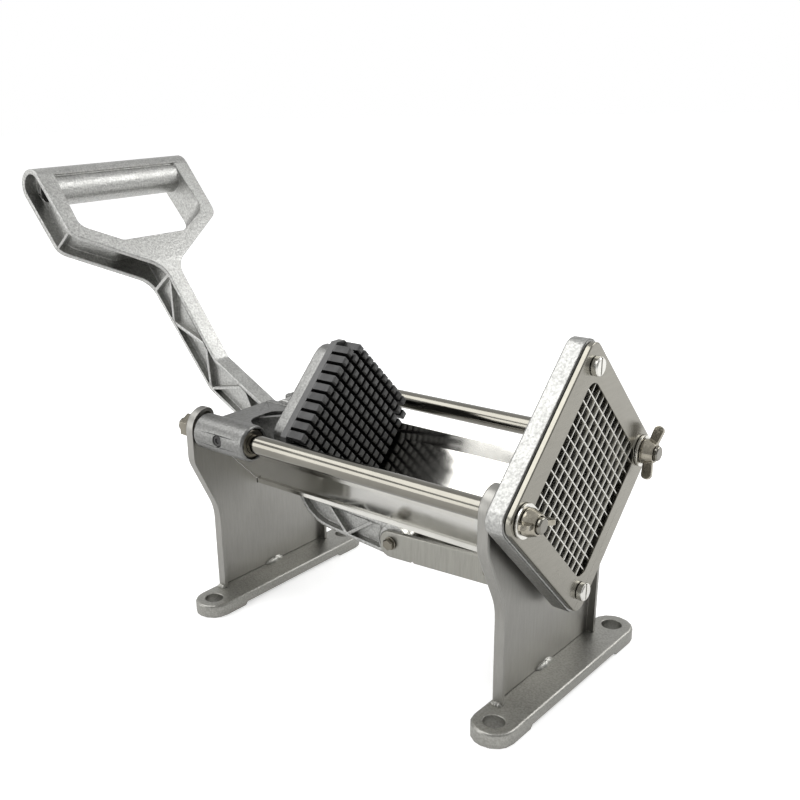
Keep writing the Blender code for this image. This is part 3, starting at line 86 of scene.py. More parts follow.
# Trim
WELD_RIPPLE = 0.10              # share of a bead's width
WELD_RIPPLE_LENGTH = 0.0016
WELD_END_SHARE = 0.8            # width of the beads on the flanges against the middle bead
WELD_STEPS = (40, 14)           # round its upright axis, and from top to bottom
HUB_RIM_HALF = 0.0059
HUB_RIM_SEAT = 0.0006
HUB_RIM_STEPS = 96
HUB_GROOVE = 0.0003
HANDLE_HOLLOW = 0.0160
HANDLE_RIB_PLACE = (0.0572, 0.0735)             # across and along the arm, from its mark
HANDLE_RIB_REACH = 0.0085
HANDLE_RIB_TURN = math.radians(-24)
TRIM_EDGE_SHARE = 0.25          # rounding of thin trim, as a share of its thickness
TRIM_EDGE_STEPS = 2

# Noise scales, in features per metre
CAST_CLOUDS = 55
SHEET_CLOUDS = 28
SMUDGES = 40
PLASTIC_GRAINS = 1600
PLASTIC_RUBS = 120
OXIDE_FILM = 400
WELD_TINT = 260
WELD_SKIN = 2500
PIT_SHARE = 0.45                # pits in a casting, against its grain

# Depths of grain
BLAST_DEPTH = 0.00018
CARRIAGE_DEPTH = 0.00012
SAND_DEPTH = 0.00015
WING_DEPTH = 0.0001
SATIN_DEPTH = 0.000003
ROLLED_DEPTH = 0.000006
POLISH_DEPTH = 0.000006
PLATE_DEPTH = 0.00001
TURNED_DEPTH = 0.00002
PLASTIC_DEPTH = 0.00004
WELD_DEPTH = 0.00006

# How the grain is drawn out along each axis, in features per metre
LEG_GRAIN = (700, 700, 90)
LINK_GRAIN = (700, 700, 60)
FRAME_GRAIN = (500, 60, 700)
TROUGH_GRAIN = (30, 900, 900)
ROD_GRAIN = (1200, 60, 60)
BUSHING_GRAIN = (1500, 80, 80)
BLADE_GRAIN = (900, 900, 900)
SCREW_GRAIN = (700, 700, 700)
HUB_RIM_GRAIN = (300, 3000, 300)

# Shades of the smaller finishes, with the painted shade on the pusher's teeth and on the blades' sides
PLASTIC_PAINTED_GAP_SHADE = 0.12        # painted shade, deep between the teeth and on their sides
PLASTIC_WORN_SHADE = 1.5
TOOTH_PAINTED_SHADE_SHARE = 0.12        # share of a tooth's length over which painted shade darkens its sides, from the root
OXIDE_DARK = (0.03, 0.03, 0.032)
OXIDE_LIGHT = (0.07, 0.068, 0.065)
WELD_DARK = (0.30, 0.30, 0.28)
WELD_LIGHT = (0.46, 0.455, 0.42)
BLADE_SIDE_PAINTED_SHADE = 0.22         # painted shade on the blade sides, against their front edges
WING_SHADE = 1.5                # wing nuts against the plated nuts

# Stage
WHITE = (1, 1, 1, 1)
FLOOR_ROUGHNESS = 0.9
KEY_LAMP = {"place": (-0.55, -0.4, 1.25), "target": (0.05, 0, 0.08), "side": 0.9}
BACK_LAMP = {"place": (0.72, 0.95, 0.92), "target": (-0.05, 0, 0.2), "side": 0.9}
SIDE_LAMP = {"place": (-1.1, -1.5, 0.5), "target": (0.0, 0, 0.1), "side": 0.9}
ROOM_BRIGHT_SIDE = (-0.75, 0.15, 0.64)         # a direction
ROOM_FADE = (-0.45, 0.55)       # from the dark to the bright side
CAMERA_PLACE = (0.39247, -0.43093, 0.30277)
CAMERA_RIGHT = (0.72559, 0.68710, -0.03756)
CAMERA_UP = (-0.20153, 0.26436, 0.94313)
CAMERA_BACK = (0.65796, -0.67676, 0.33029)
CAMERA_LENS = 45.47
CAMERA_SHIFT = (0.1474, 0.0548)
CAMERA_NEAREST = 0.01


class CutterFinishes(bpy.types.PropertyGroup):
    """Colours and grain of the metal and plastic pieces."""

    cast_colour: bpy.props.FloatVectorProperty(
        name="Casting colour", description="Colour of the lever and blade holder",
        subtype="COLOR", size=3, min=0, max=1, default=(0.42, 0.42, 0.405))
    carriage_colour: bpy.props.FloatVectorProperty(
        name="Carriage colour", description="Colour of the carriage casting",
        subtype="COLOR", size=3, min=0, max=1, default=(0.21, 0.21, 0.203))
    foot_colour: bpy.props.FloatVectorProperty(
        name="Foot colour", description="Colour of the two feet",
        subtype="COLOR", size=3, min=0, max=1, default=(0.33, 0.326, 0.302))
    sheet_colour: bpy.props.FloatVectorProperty(
        name="Sheet colour", description="Colour of the legs, link and bracket",
        subtype="COLOR", size=3, min=0, max=1, default=(0.295, 0.29, 0.272))
    frame_colour: bpy.props.FloatVectorProperty(
        name="Frame colour", description="Colour of the frame that holds the blades",
        subtype="COLOR", size=3, min=0, max=1, default=(0.245, 0.235, 0.203))
    bright_colour: bpy.props.FloatVectorProperty(
        name="Bright steel colour", description="Colour of the trough, blades, hub rim, frame screws and washers",
        subtype="COLOR", size=3, min=0, max=1, default=(0.66, 0.65, 0.61))
    rod_colour: bpy.props.FloatVectorProperty(
        name="Rod colour", description="Colour of the polished guide rods",
        subtype="COLOR", size=3, min=0, max=1, default=(0.205, 0.197, 0.172))
    plate_colour: bpy.props.FloatVectorProperty(
        name="Plating colour", description="Colour of the bushings, nuts, bolts, pin and wing nuts",
        subtype="COLOR", size=3, min=0, max=1, default=(0.22, 0.205, 0.17))
    link_colour: bpy.props.FloatVectorProperty(
        name="Link colour", description="Colour of the flat link",
        subtype="COLOR", size=3, min=0, max=1, default=(0.305, 0.30, 0.272))
    plastic_colour: bpy.props.FloatVectorProperty(
        name="Pusher colour", description="Colour of the toothed pusher block",
        subtype="COLOR", size=3, min=0, max=1, default=(0.066, 0.066, 0.065))
    blast_grain: bpy.props.FloatProperty(
        name="Blasting grain", description="Size of one grain on the blasted castings",
        subtype="DISTANCE", unit="LENGTH", default=0.0013, min=0.0001, max=0.005)
    sand_grain: bpy.props.FloatProperty(
        name="Sand grain", description="Size of one grain on the cast feet",
        subtype="DISTANCE", unit="LENGTH", default=0.0011, min=0.0001, max=0.005)
    cast_edge: bpy.props.FloatProperty(
        name="Cast edge", description="Rounding of the edges of the castings",
        subtype="DISTANCE", unit="LENGTH", default=0.0005, min=0, max=0.002)
    sheet_edge: bpy.props.FloatProperty(
        name="Sheet edge", description="Rounding of the edges of sheet and turned steel",
        subtype="DISTANCE", unit="LENGTH", default=0.0002, min=0, max=0.001)


class CutterDetails(bpy.types.PropertyGroup):
    """Sizes of the welds, the blades' front edges, the hub's rim and the handle's small ribs."""

    weld_length: bpy.props.FloatProperty(
        name="Weld length", description="Length of the weld bead between a leg and its foot",
        subtype="DISTANCE", unit="LENGTH", default=0.0165, min=0.003, max=0.05)
    weld_size: bpy.props.FloatProperty(
        name="Weld size", description="Half width of a weld bead",
        subtype="DISTANCE", unit="LENGTH", default=0.0026, min=0.0005, max=0.004)
    blade_pitch: bpy.props.FloatProperty(
        name="Blade pitch", description="Distance from one blade to the next",
        subtype="DISTANCE", unit="LENGTH", default=0.00635, min=0.003, max=0.03)
    blade_thick: bpy.props.FloatProperty(
        name="Blade thickness", description="Thickness of a blade",
        subtype="DISTANCE", unit="LENGTH", default=0.0007, min=0.0003, max=0.002)
    blade_set_back: bpy.props.FloatProperty(
        name="Blade set back", description="How far the blades' front edges lie behind the frame's face",
        subtype="DISTANCE", unit="LENGTH", default=0.0007, min=0, max=0.003)
    hub_rim: bpy.props.FloatProperty(
        name="Hub rim", description="How far the machined rim stands out of the elbow hub",
        subtype="DISTANCE", unit="LENGTH", default=0.0002, min=0.0001, max=0.001)
    handle_rib: bpy.props.FloatProperty(
        name="Handle rib", description="Thickness of the small rib in each corner of the handle",
        subtype="DISTANCE", unit="LENGTH", default=0.0016, min=0.0005, max=0.004)


class CutterStage(bpy.types.PropertyGroup):
    """Floor, lights and background."""

    floor_colour: bpy.props.FloatVectorProperty(
        name="Floor colour", description="Colour of the floor",
        subtype="COLOR", size=3, min=0, max=1, default=(0.86, 0.86, 0.86))
    floor_lift: bpy.props.FloatProperty(
        name="Floor lift", description="Light that the floor adds for the camera, so that it ends in white",
        default=0.45, min=0, max=1)
    floor_shine: bpy.props.FloatProperty(
        name="Floor shine", description="Light that the floor adds in reflections",
        default=0.2, min=0, max=1)
    floor_half: bpy.props.FloatProperty(
        name="Floor half side", description="Half the side of the square floor",
        subtype="DISTANCE", unit="LENGTH", default=8.0, min=1, max=50)
    room_bright: bpy.props.FloatProperty(
        name="Bright side", description="Strength of the room on its bright side",
        default=0.8, min=0, max=2)
    room_dark: bpy.props.FloatProperty(
        name="Dark side", description="Strength of the room on its dark side",
        default=0.42, min=0, max=2)
    key_power: bpy.props.FloatProperty(
        name="Key light", description="Power of the soft lamp over the machine",
        subtype="POWER", unit="POWER", default=8.0, min=0, max=500)
    back_power: bpy.props.FloatProperty(
        name="Back light", description="Power of the soft lamp on the far right",
        subtype="POWER", unit="POWER", default=8.5, min=0, max=500)
    side_power: bpy.props.FloatProperty(
        name="Side light", description="Power of the soft lamp on the left",
        subtype="POWER", unit="POWER", default=7.5, min=0, max=500)


# Finishes


def start_finish(name):
    """A new node material, with its tree, shader and object coordinates."""
    material = bpy.data.materials.new(name)
    material.use_nodes = True
    tree = material.node_tree
    shader = tree.nodes["Principled BSDF"]
    place = tree.nodes.new("ShaderNodeTexCoord").outputs["Object"]
    return material, tree, shader, place


def stretched(tree, place, scale):
    """Coordinates that run at a different pace along each axis."""
    mapping = tree.nodes.new("ShaderNodeMapping")
    mapping.inputs["Scale"].default_value = scale
    tree.links.new(place, mapping.inputs["Vector"])
    return mapping.outputs["Vector"]


def noise(tree, place, scale, detail=3.0, roughness=0.6):
    """The value of a noise whose features are about one over scale metres wide."""
    node = tree.nodes.new("ShaderNodeTexNoise")
    node.inputs["Scale"].default_value = scale
    node.inputs["Detail"].default_value = detail
    node.inputs["Roughness"].default_value = roughness
    tree.links.new(place, node.inputs["Vector"])
    return node.outputs["Fac"]


def ranged(tree, value, low, high, out_low, out_high):
    """A value taken from one range to another and kept inside it."""
    node = tree.nodes.new("ShaderNodeMapRange")
    for name, number in (("From Min", low), ("From Max", high), ("To Min", out_low), ("To Max", out_high)):
        node.inputs[name].default_value = number
    tree.links.new(value, node.inputs["Value"])
    return node.outputs["Result"]


def tinted(tree, factor, low, high):
    """A colour between two, by a factor."""
    node = tree.nodes.new("ShaderNodeMix")
    node.data_type = "RGBA"
    node.inputs["A"].default_value = (*low, 1)
    node.inputs["B"].default_value = (*high, 1)
    tree.links.new(factor, node.inputs["Factor"])
    return node.outputs["Result"]


def combined(tree, operation, first, second):
    """Two values brought together by one operation."""
    node = tree.nodes.new("ShaderNodeMath")
    node.operation = operation
    tree.links.new(first, node.inputs[0])
    tree.links.new(second, node.inputs[1])
    return node.outputs["Value"]


def bumped(tree, height, distance, strength, below=None):
    """A normal that follows a height value."""
    node = tree.nodes.new("ShaderNodeBump")
    node.inputs["Distance"].default_value = distance
    node.inputs["Strength"].default_value = strength
    tree.links.new(height, node.inputs["Height"])
    if below is not None:
        tree.links.new(below, node.inputs["Normal"])
    return node.outputs["Normal"]


def shades(colour, *factors):
    """A colour made darker or lighter by each factor."""
    return [tuple(min(1.0, channel * factor) for channel in colour) for factor in factors]


def cast_finish(name, colour, grain, depth, roughness, contrast):
    """Blasted or sand-cast metal: a fine sparkle, cloudy shine and small pits."""
    material, tree, shader, place = start_finish(name)
    grains = noise(tree, place, 1 / grain, 2.0, 0.55)
    clouds = noise(tree, place, CAST_CLOUDS, 4.0, 0.6)
    pits = tree.nodes.new("ShaderNodeTexVoronoi")
    pits.inputs["Scale"].default_value = PIT_SHARE / grain
    tree.links.new(place, pits.inputs["Vector"])
    pit = ranged(tree, pits.outputs["Distance"], 0.0, 0.35, 0.0, 1.0)
    dark, pale, light = shades(colour, 1 - contrast, 1.0, 1 + contrast)
    base = tinted(tree, ranged(tree, grains, 0.35, 0.66, 0, 1), dark, light)
    cloud = tinted(tree, ranged(tree, clouds, 0.35, 0.7, 0, 1), dark, pale)
    half = tree.nodes.new("ShaderNodeMix")
    half.data_type = "RGBA"
    half.inputs["Factor"].default_value = 0.35
    tree.links.new(base, half.inputs["A"])
    tree.links.new(cloud, half.inputs["B"])
    tree.links.new(half.outputs["Result"], shader.inputs["Base Color"])
    shader.inputs["Metallic"].default_value = 1.0
    tree.links.new(ranged(tree, clouds, 0.3, 0.7, roughness - 0.06, roughness + 0.08),
                   shader.inputs["Roughness"])
    coarse = bumped(tree, pit, depth * 1.5, 0.35)
    tree.links.new(bumped(tree, grains, depth, 1.0, coarse), shader.inputs["Normal"])
    return material


def sheet_finish(name, colour, grain_scale, roughness, depth, contrast):
    """Satin sheet: fine straight grain one way, slow clouds in the shine."""
    material, tree, shader, place = start_finish(name)
    streaks = noise(tree, stretched(tree, place, grain_scale), 1.0, 3.0, 0.65)
    clouds = noise(tree, place, SHEET_CLOUDS, 3.0, 0.55)
    dark, light = shades(colour, 1 - contrast, 1 + contrast)
    tree.links.new(tinted(tree, ranged(tree, streaks, 0.35, 0.65, 0, 1), dark, light),
                   shader.inputs["Base Color"])
    shader.inputs["Metallic"].default_value = 1.0
    tree.links.new(ranged(tree, clouds, 0.3, 0.7, roughness - 0.05, roughness + 0.07),
                   shader.inputs["Roughness"])
    tree.links.new(bumped(tree, streaks, depth, 0.5), shader.inputs["Normal"])
    return material


def bright_finish(name, colour, roughness, grain_scale, depth=POLISH_DEPTH):
    """Polished steel: clear reflections with faint polishing lines and smudges."""
    material, tree, shader, place = start_finish(name)
    lines = noise(tree, stretched(tree, place, grain_scale), 1.0, 2.0, 0.5)
    smudges = noise(tree, place, SMUDGES, 4.0, 0.6)
    dark, light = shades(colour, 0.93, 1.05)
    tree.links.new(tinted(tree, ranged(tree, smudges, 0.35, 0.65, 0, 1), dark, light),
                   shader.inputs["Base Color"])
    shader.inputs["Metallic"].default_value = 1.0
    tree.links.new(ranged(tree, smudges, 0.4, 0.72, roughness, roughness + 0.09),
                   shader.inputs["Roughness"])
    tree.links.new(bumped(tree, lines, depth, 0.4), shader.inputs["Normal"])
    return material


def plastic_finish(name, colour, root, tip):
    """Moulded plastic: fine grain and rubbed patches, with painted shade on the tooth sides and in the gaps.

    root and tip are the two ends of the teeth along X.
    """
    material, tree, shader, place = start_finish(name)
    grains = noise(tree, place, PLASTIC_GRAINS, 2.0, 0.5)
    rubs = noise(tree, place, PLASTIC_RUBS, 4.0, 0.7)
    # dark is painted shade, for the tooth sides and the gaps between the teeth
    dark, worn = shades(colour, PLASTIC_PAINTED_GAP_SHADE, PLASTIC_WORN_SHADE)
    skin = tinted(tree, ranged(tree, rubs, 0.42, 0.72, 0, 1), colour, worn)
    along = tree.nodes.new("ShaderNodeSeparateXYZ")
    tree.links.new(place, along.inputs["Vector"])
    facing = tree.nodes.new("ShaderNodeSeparateXYZ")
    tree.links.new(tree.nodes.new("ShaderNodeTexCoord").outputs["Normal"], facing.inputs["Vector"])
    length = tip - root
    # Painted shade: the sides of the teeth, and the gap floors near the root, take the dark colour
    on_tooth = ranged(tree, along.outputs["X"], root, root + length * TOOTH_PAINTED_SHADE_SHARE, 0, 1)
    sideways = ranged(tree, facing.outputs["X"], 0.35, 0.8, 1, 0)
    painted_tooth_side_shade = combined(tree, "MULTIPLY", on_tooth, sideways)
    at_root = ranged(tree, along.outputs["X"], root, root + length / 2, 1, 0)
    forwards = ranged(tree, facing.outputs["X"], 0.35, 0.8, 0, 1)
    painted_gap_floor_shade = combined(tree, "MULTIPLY", at_root, forwards)
    shadow = tree.nodes.new("ShaderNodeMix")
    shadow.data_type = "RGBA"
    shadow.inputs["B"].default_value = (*dark, 1)
    tree.links.new(combined(tree, "MAXIMUM", painted_tooth_side_shade, painted_gap_floor_shade), shadow.inputs["Factor"])
    tree.links.new(skin, shadow.inputs["A"])
    tree.links.new(shadow.outputs["Result"], shader.inputs["Base Color"])
    tree.links.new(ranged(tree, rubs, 0.35, 0.7, 0.34, 0.5), shader.inputs["Roughness"])
    tree.links.new(bumped(tree, grains, PLASTIC_DEPTH, 0.5), shader.inputs["Normal"])
    return material


def black_oxide_finish(name):
    """Blackened steel: dark, half dull, with an oily sheen in places."""
    material, tree, shader, place = start_finish(name)
    film = noise(tree, place, OXIDE_FILM, 3.0, 0.6)
    tree.links.new(tinted(tree, film, OXIDE_DARK, OXIDE_LIGHT), shader.inputs["Base Color"])
    shader.inputs["Metallic"].default_value = 0.7
    tree.links.new(ranged(tree, film, 0.3, 0.7, 0.3, 0.5), shader.inputs["Roughness"])
    return material


def weld_finish(name):
    """Weld metal: dull grey ripples with a rough skin."""
    material, tree, shader, place = start_finish(name)
    tint = noise(tree, place, WELD_TINT, 2.0, 0.5)
    grey = tinted(tree, ranged(tree, tint, 0.3, 0.7, 0, 1), WELD_DARK, WELD_LIGHT)
    tree.links.new(grey, shader.inputs["Base Color"])
    shader.inputs["Metallic"].default_value = 0.9
    shader.inputs["Roughness"].default_value = 0.42
    skin = noise(tree, place, WELD_SKIN, 2.0)
    tree.links.new(bumped(tree, skin, WELD_DEPTH, 0.6), shader.inputs["Normal"])
    return material


# Pieces


def dress(names, material, edge=0.0, segments=2):
    """Give CAD nodes a finish, and round their edges if an edge size is given."""
    for name in names:
        node = NODES[name]
        node.data.materials.clear()
        node.data.materials.append(material)
        merge = node.modifiers.new("merge", "WELD")
        merge.merge_threshold = MERGE_DISTANCE
        if edge:
            rounding = node.modifiers.new("edges", "BEVEL")
            rounding.width = edge
            rounding.segments = segments
            rounding.limit_method = "ANGLE"
            rounding.angle_limit = SHARP_ANGLE
            rounding.use_clamp_overlap = False
            rounding.miter_outer = "MITER_ARC"
        node.data.polygons.foreach_set("use_smooth", [True] * len(node.data.polygons))
        normals = node.modifiers.new("normals", "WEIGHTED_NORMAL")
        normals.keep_sharp = True
        normals.weight = 60


def finish_piece(name, solid, material, body):
    """Turn a bmesh into a smooth finished piece that rides on a body."""
    bmesh.ops.recalc_face_normals(solid, faces=solid.faces)
    mesh = bpy.data.meshes.new(name)
    solid.to_mesh(mesh)
    solid.free()
    mesh.materials.append(material)
    mesh.polygons.foreach_set("use_smooth", [True] * len(mesh.polygons))
    mesh.set_sharp_from_angle(angle=SHARP_ANGLE)
    piece = bpy.data.objects.new(name, mesh)
    bpy.context.scene.collection.objects.link(piece)
    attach(piece, body)
    return piece


class CUTTER_OT_castings(bpy.types.Operator):
    """Blasted finish and soft edges on the lever, carriage and blade holder"""

    bl_idname = "cutter.castings"
    bl_label = "Castings"

    def execute(self, context):
        look = context.scene.cutter_finishes
        blasted = cast_finish("blasted aluminium", look.cast_colour, look.blast_grain, BLAST_DEPTH,
                              roughness=0.40, contrast=0.3)
        dress(CAST_NODES, blasted, look.cast_edge)
        duller = cast_finish("carriage aluminium", look.carriage_colour, look.blast_grain, CARRIAGE_DEPTH,
                             roughness=0.38, contrast=0.25)
        dress(("carriage",), duller, look.cast_edge)
        rough = cast_finish("sand-cast grey", look.foot_colour, look.sand_grain, SAND_DEPTH,
                            roughness=0.42, contrast=0.2)
        dress(FOOT_NODES, rough, look.cast_edge)
        return {"FINISHED"}


class CUTTER_OT_sheet_parts(bpy.types.Operator):
    """Satin grain on the legs, link, bracket and blade frame"""

    bl_idname = "cutter.sheet_parts"
    bl_label = "Sheet parts"

    def execute(self, context):
        look = context.scene.cutter_finishes
        satin = sheet_finish("satin sheet", look.sheet_colour, LEG_GRAIN, roughness=0.40,
                             depth=SATIN_DEPTH, contrast=0.04)
        dress(SATIN_NODES, satin, look.sheet_edge)
        rolled = sheet_finish("rolled strip", look.link_colour, LINK_GRAIN, roughness=0.34,
                              depth=ROLLED_DEPTH, contrast=0.07)
        dress(("link",), rolled, look.sheet_edge)
        frame_satin = sheet_finish("frame satin", look.frame_colour, FRAME_GRAIN, roughness=0.24,
                                   depth=SATIN_DEPTH, contrast=0.04)
        dress(("blade_frame",), frame_satin, look.sheet_edge)
        return {"FINISHED"}


class CUTTER_OT_trough(bpy.types.Operator):
    """Mirror polish on the two trough panels"""

    bl_idname = "cutter.trough"
    bl_label = "Trough"

    def execute(self, context):
        look = context.scene.cutter_finishes
        mirror = bright_finish("mirror sheet", look.bright_colour, roughness=0.09, grain_scale=TROUGH_GRAIN)
        dress(TROUGH_NODES, mirror, look.sheet_edge)
        return {"FINISHED"}


class CUTTER_OT_rods(bpy.types.Operator):
    """Polish on the guide rods and their bushings"""

    bl_idname = "cutter.rods"
    bl_label = "Rods"

    def execute(self, context):
        look = context.scene.cutter_finishes
        polished = bright_finish("polished rod", look.rod_colour, roughness=0.10, grain_scale=ROD_GRAIN)
        dress(ROD_NODES, polished, look.sheet_edge)
        turned = bright_finish("turned bushing", look.plate_colour, roughness=0.28,
                               grain_scale=BUSHING_GRAIN)
        dress(BUSHING_NODES, turned, look.sheet_edge)
        return {"FINISHED"}


class CUTTER_OT_blades(bpy.types.Operator):
    """Ground steel on the twenty-two blades, with painted shade on their sides"""

    bl_idname = "cutter.blades"
    bl_label = "Blades"

    def execute(self, context):
        look = context.scene.cutter_finishes
        # The blade sides take a darkened copy of the bright steel: painted shade inside the grid's cells
        painted_shade_side_colour, = shades(look.bright_colour, BLADE_SIDE_PAINTED_SHADE)
        ground = bright_finish("ground blade in painted shade", painted_shade_side_colour, roughness=0.26, grain_scale=BLADE_GRAIN)
        dress(BLADE_NODES, ground)
        return {"FINISHED"}


class CUTTER_OT_pusher(bpy.types.Operator):
    """Moulded black plastic on the toothed block, with painted shade on its tooth sides and gaps"""

    bl_idname = "cutter.pusher"
    bl_label = "Pusher"

    def execute(self, context):
        look = context.scene.cutter_finishes
        low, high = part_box("pusher_block")
        to_node = NODES["pusher_block"].matrix_world.inverted()
        tip = (to_node @ Vector(high)).x
        plastic = plastic_finish("moulded black", look.plastic_colour, tip - TOOTH_LENGTH, tip)
        dress(("pusher_block",), plastic, look.sheet_edge)
        return {"FINISHED"}


class CUTTER_OT_fasteners(bpy.types.Operator):
    """Bright plate on screws, nuts, pins and wing nuts"""

    bl_idname = "cutter.fasteners"
    bl_label = "Fasteners"

    def execute(self, context):
        look = context.scene.cutter_finishes
        bright = bright_finish("bright screw", look.bright_colour, roughness=0.2,
                               grain_scale=SCREW_GRAIN, depth=PLATE_DEPTH)
        dress(SCREW_NODES, bright, look.sheet_edge)
        plated = bright_finish("yellowed plate", look.plate_colour, roughness=0.2,
                               grain_scale=SCREW_GRAIN, depth=PLATE_DEPTH)
        dress(FASTENER_NODES, plated, look.sheet_edge)
        wing_colour, = shades(look.plate_colour, WING_SHADE)
        wings = cast_finish("cast wing nut", wing_colour, look.blast_grain, WING_DEPTH,
                            roughness=0.22, contrast=0.2)
        dress(WING_NODES, wings, look.sheet_edge)
        dress(SET_SCREW_NODES, black_oxide_finish("blackened screw"), look.sheet_edge)
        return {"FINISHED"}


def weld_bead(solid, centre, half_length, half_width, lengthways):
    """Add one weld bead to a bmesh: a long drop with ripples across it."""
    around, down = WELD_STEPS
    made = bmesh.ops.create_uvsphere(solid, u_segments=around, v_segments=down, radius=1.0)["verts"]
    for point in made:
        ripple = 1 + WELD_RIPPLE * math.sin(point.co.x * half_length / WELD_RIPPLE_LENGTH * math.tau)
        point.co.y *= ripple
        point.co.z *= ripple
    bmesh.ops.scale(solid, vec=(half_length, half_width, half_width), verts=made)
    bmesh.ops.rotate(solid, cent=(0, 0, 0), matrix=Matrix.Rotation(lengthways, 3, "Z"), verts=made)
    bmesh.ops.translate(solid, vec=centre, verts=made)


class CUTTER_OT_welds(bpy.types.Operator):
    """Weld beads in the middle and at the ends of each leg's lower edge"""

    bl_idname = "cutter.welds"
    bl_label = "Welds"

    def execute(self, context):
        sizes = context.scene.cutter_details
        metal = weld_finish("weld metal")
        for name in ("front", "rear"):
            low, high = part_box(name + "_leg")
            foot_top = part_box(name + "_foot")[1].z
            face = low.x + LEG_SHEET
            solid = bmesh.new()
            weld_bead(solid, (face, 0, foot_top), sizes.weld_length / 2, sizes.weld_size, math.pi / 2)
            weld_bead(solid, (low.x, 0, foot_top), sizes.weld_length / 2, sizes.weld_size, math.pi / 2)
            for side in (-1, 1):
                place = ((low.x + high.x) / 2, side * LEG_FOOT_HALF, foot_top)
                weld_bead(solid, place, (high.x - low.x) / 2, sizes.weld_size * WELD_END_SHARE, 0)
            finish_piece(name + "_weld", solid, metal, "stand")
        return {"FINISHED"}


class CUTTER_OT_blade_fronts(bpy.types.Operator):
    """The front edges of the blades, which reach into the frame's opening"""

    bl_idname = "cutter.blade_fronts"
    bl_label = "Blade fronts"

    def execute(self, context):
        sizes = context.scene.cutter_details
        low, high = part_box("blade_frame")
        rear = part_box("blade_a_06")[1].x
        front = high.x - sizes.blade_set_back
        centre = Vector(((rear + front) / 2, (low.y + high.y) / 2, (low.z + high.z) / 2))
        colour = context.scene.cutter_finishes.bright_colour
        edges = bright_finish("blade edge", colour, roughness=0.24, grain_scale=BLADE_GRAIN)
        for word, turn in BLADE_TURNS:
            solid = bmesh.new()
            for index in range(-BLADES_EACH_SIDE, BLADES_EACH_SIDE + 1):
                strip = bmesh.ops.create_cube(solid, size=1.0)["verts"]
                bmesh.ops.scale(solid, vec=(front - rear, OPENING_SIDE, sizes.blade_thick), verts=strip)
                bmesh.ops.translate(solid, vec=(0, 0, index * sizes.blade_pitch), verts=strip)
            long_edges = [edge for edge in solid.edges
                          if abs(edge.verts[0].co.y - edge.verts[1].co.y) > OPENING_SIDE / 2
                          and edge.verts[0].co.x > 0]
            bmesh.ops.bevel(solid, geom=long_edges, offset=sizes.blade_thick * TRIM_EDGE_SHARE,
                            affect="EDGES", segments=TRIM_EDGE_STEPS, profile=0.5, material=-1)
            bmesh.ops.rotate(solid, cent=(0, 0, 0), matrix=Matrix.Rotation(turn, 3, "X"), verts=solid.verts)
            bmesh.ops.translate(solid, vec=centre, verts=solid.verts)
            finish_piece("blade_fronts_" + word, solid, edges, "stand")
        return {"FINISHED"}


class CUTTER_OT_hub_rim(bpy.types.Operator):
    """The bright turned rim with two grooves on the lever's elbow hub"""

    bl_idname = "cutter.hub_rim"
    bl_label = "Hub rim"

    def execute(self, context):
        sizes = context.scene.cutter_details
        outer = HUB_RADIUS + sizes.hub_rim
        inner = HUB_RADIUS - HUB_RIM_SEAT
        half = HUB_RIM_HALF
        profile = [(-half, inner), (-half, outer)]
        for middle in (-half / 3, half / 3):
            profile += [(middle - HUB_GROOVE, outer), (middle, HUB_RADIUS), (middle + HUB_GROOVE, outer)]
        profile += [(half, outer), (half, inner)]
        solid = bmesh.new()
        points = [solid.verts.new((ELBOW[0] + radius, across, ELBOW[2])) for across, radius in profile]
        edges = [solid.edges.new((points[index - 1], points[index])) for index in range(len(points))]
        bmesh.ops.spin(solid, geom=points + edges, cent=ELBOW, axis=(0, 1, 0), angle=math.tau,
                       steps=HUB_RIM_STEPS, use_merge=True, use_duplicate=False)
        colour = context.scene.cutter_finishes.bright_colour
        turned = bright_finish("turned rim", colour, roughness=0.22, grain_scale=HUB_RIM_GRAIN,
                               depth=TURNED_DEPTH)
        finish_piece("elbow_hub_rim", solid, turned, "lever")
        return {"FINISHED"}


class CUTTER_OT_handle_ribs(bpy.types.Operator):
    """The small rib across the hollow in each corner of the handle"""

    bl_idname = "cutter.handle_ribs"
    bl_label = "Handle ribs"

    def execute(self, context):
        sizes = context.scene.cutter_details
        cast = bpy.data.materials["blasted aluminium"]
        turn = Matrix(((0, 1, 0), ALONG_ARM, INTO_ARM)).transposed()
        for word, side in (("near", -1), ("far", 1)):
            solid = bmesh.new()
            bmesh.ops.create_cube(solid, size=1.0)
            bmesh.ops.scale(solid, vec=(HANDLE_RIB_REACH, sizes.handle_rib, HANDLE_HOLLOW),
                            verts=solid.verts)
            bmesh.ops.bevel(solid, geom=list(solid.edges), offset=sizes.handle_rib * TRIM_EDGE_SHARE,
                            affect="EDGES", segments=TRIM_EDGE_STEPS, profile=0.5, material=-1)
            bmesh.ops.rotate(solid, cent=(0, 0, 0), matrix=Matrix.Rotation(side * HANDLE_RIB_TURN, 3, "Z"),
                             verts=solid.verts)
            bmesh.ops.translate(solid, vec=(side * HANDLE_RIB_PLACE[0], HANDLE_RIB_PLACE[1], ARM_DEPTH / 2),
                                verts=solid.verts)
            bmesh.ops.rotate(solid, cent=(0, 0, 0), matrix=turn, verts=solid.verts)
            bmesh.ops.translate(solid, vec=ARM_MARK, verts=solid.verts)
            finish_piece("handle_rib_" + word, solid, cast, "lever")
        return {"FINISHED"}


class CUTTER_OT_stage(bpy.types.Operator):
    """Pale floor, soft lamps, white room and the camera"""

    bl_idname = "cutter.stage"
    bl_label = "Stage"

    def execute(self, context):
        stage = context.scene.cutter_stage
        make_floor(stage)
        make_room(stage)
        make_lamp("key lamp", power=stage.key_power, **KEY_LAMP)
        make_lamp("back lamp", power=stage.back_power, **BACK_LAMP)
        make_lamp("side lamp", power=stage.side_power, **SIDE_LAMP)
        make_camera()
        context.scene.view_settings.view_transform = "Standard"
        return {"FINISHED"}


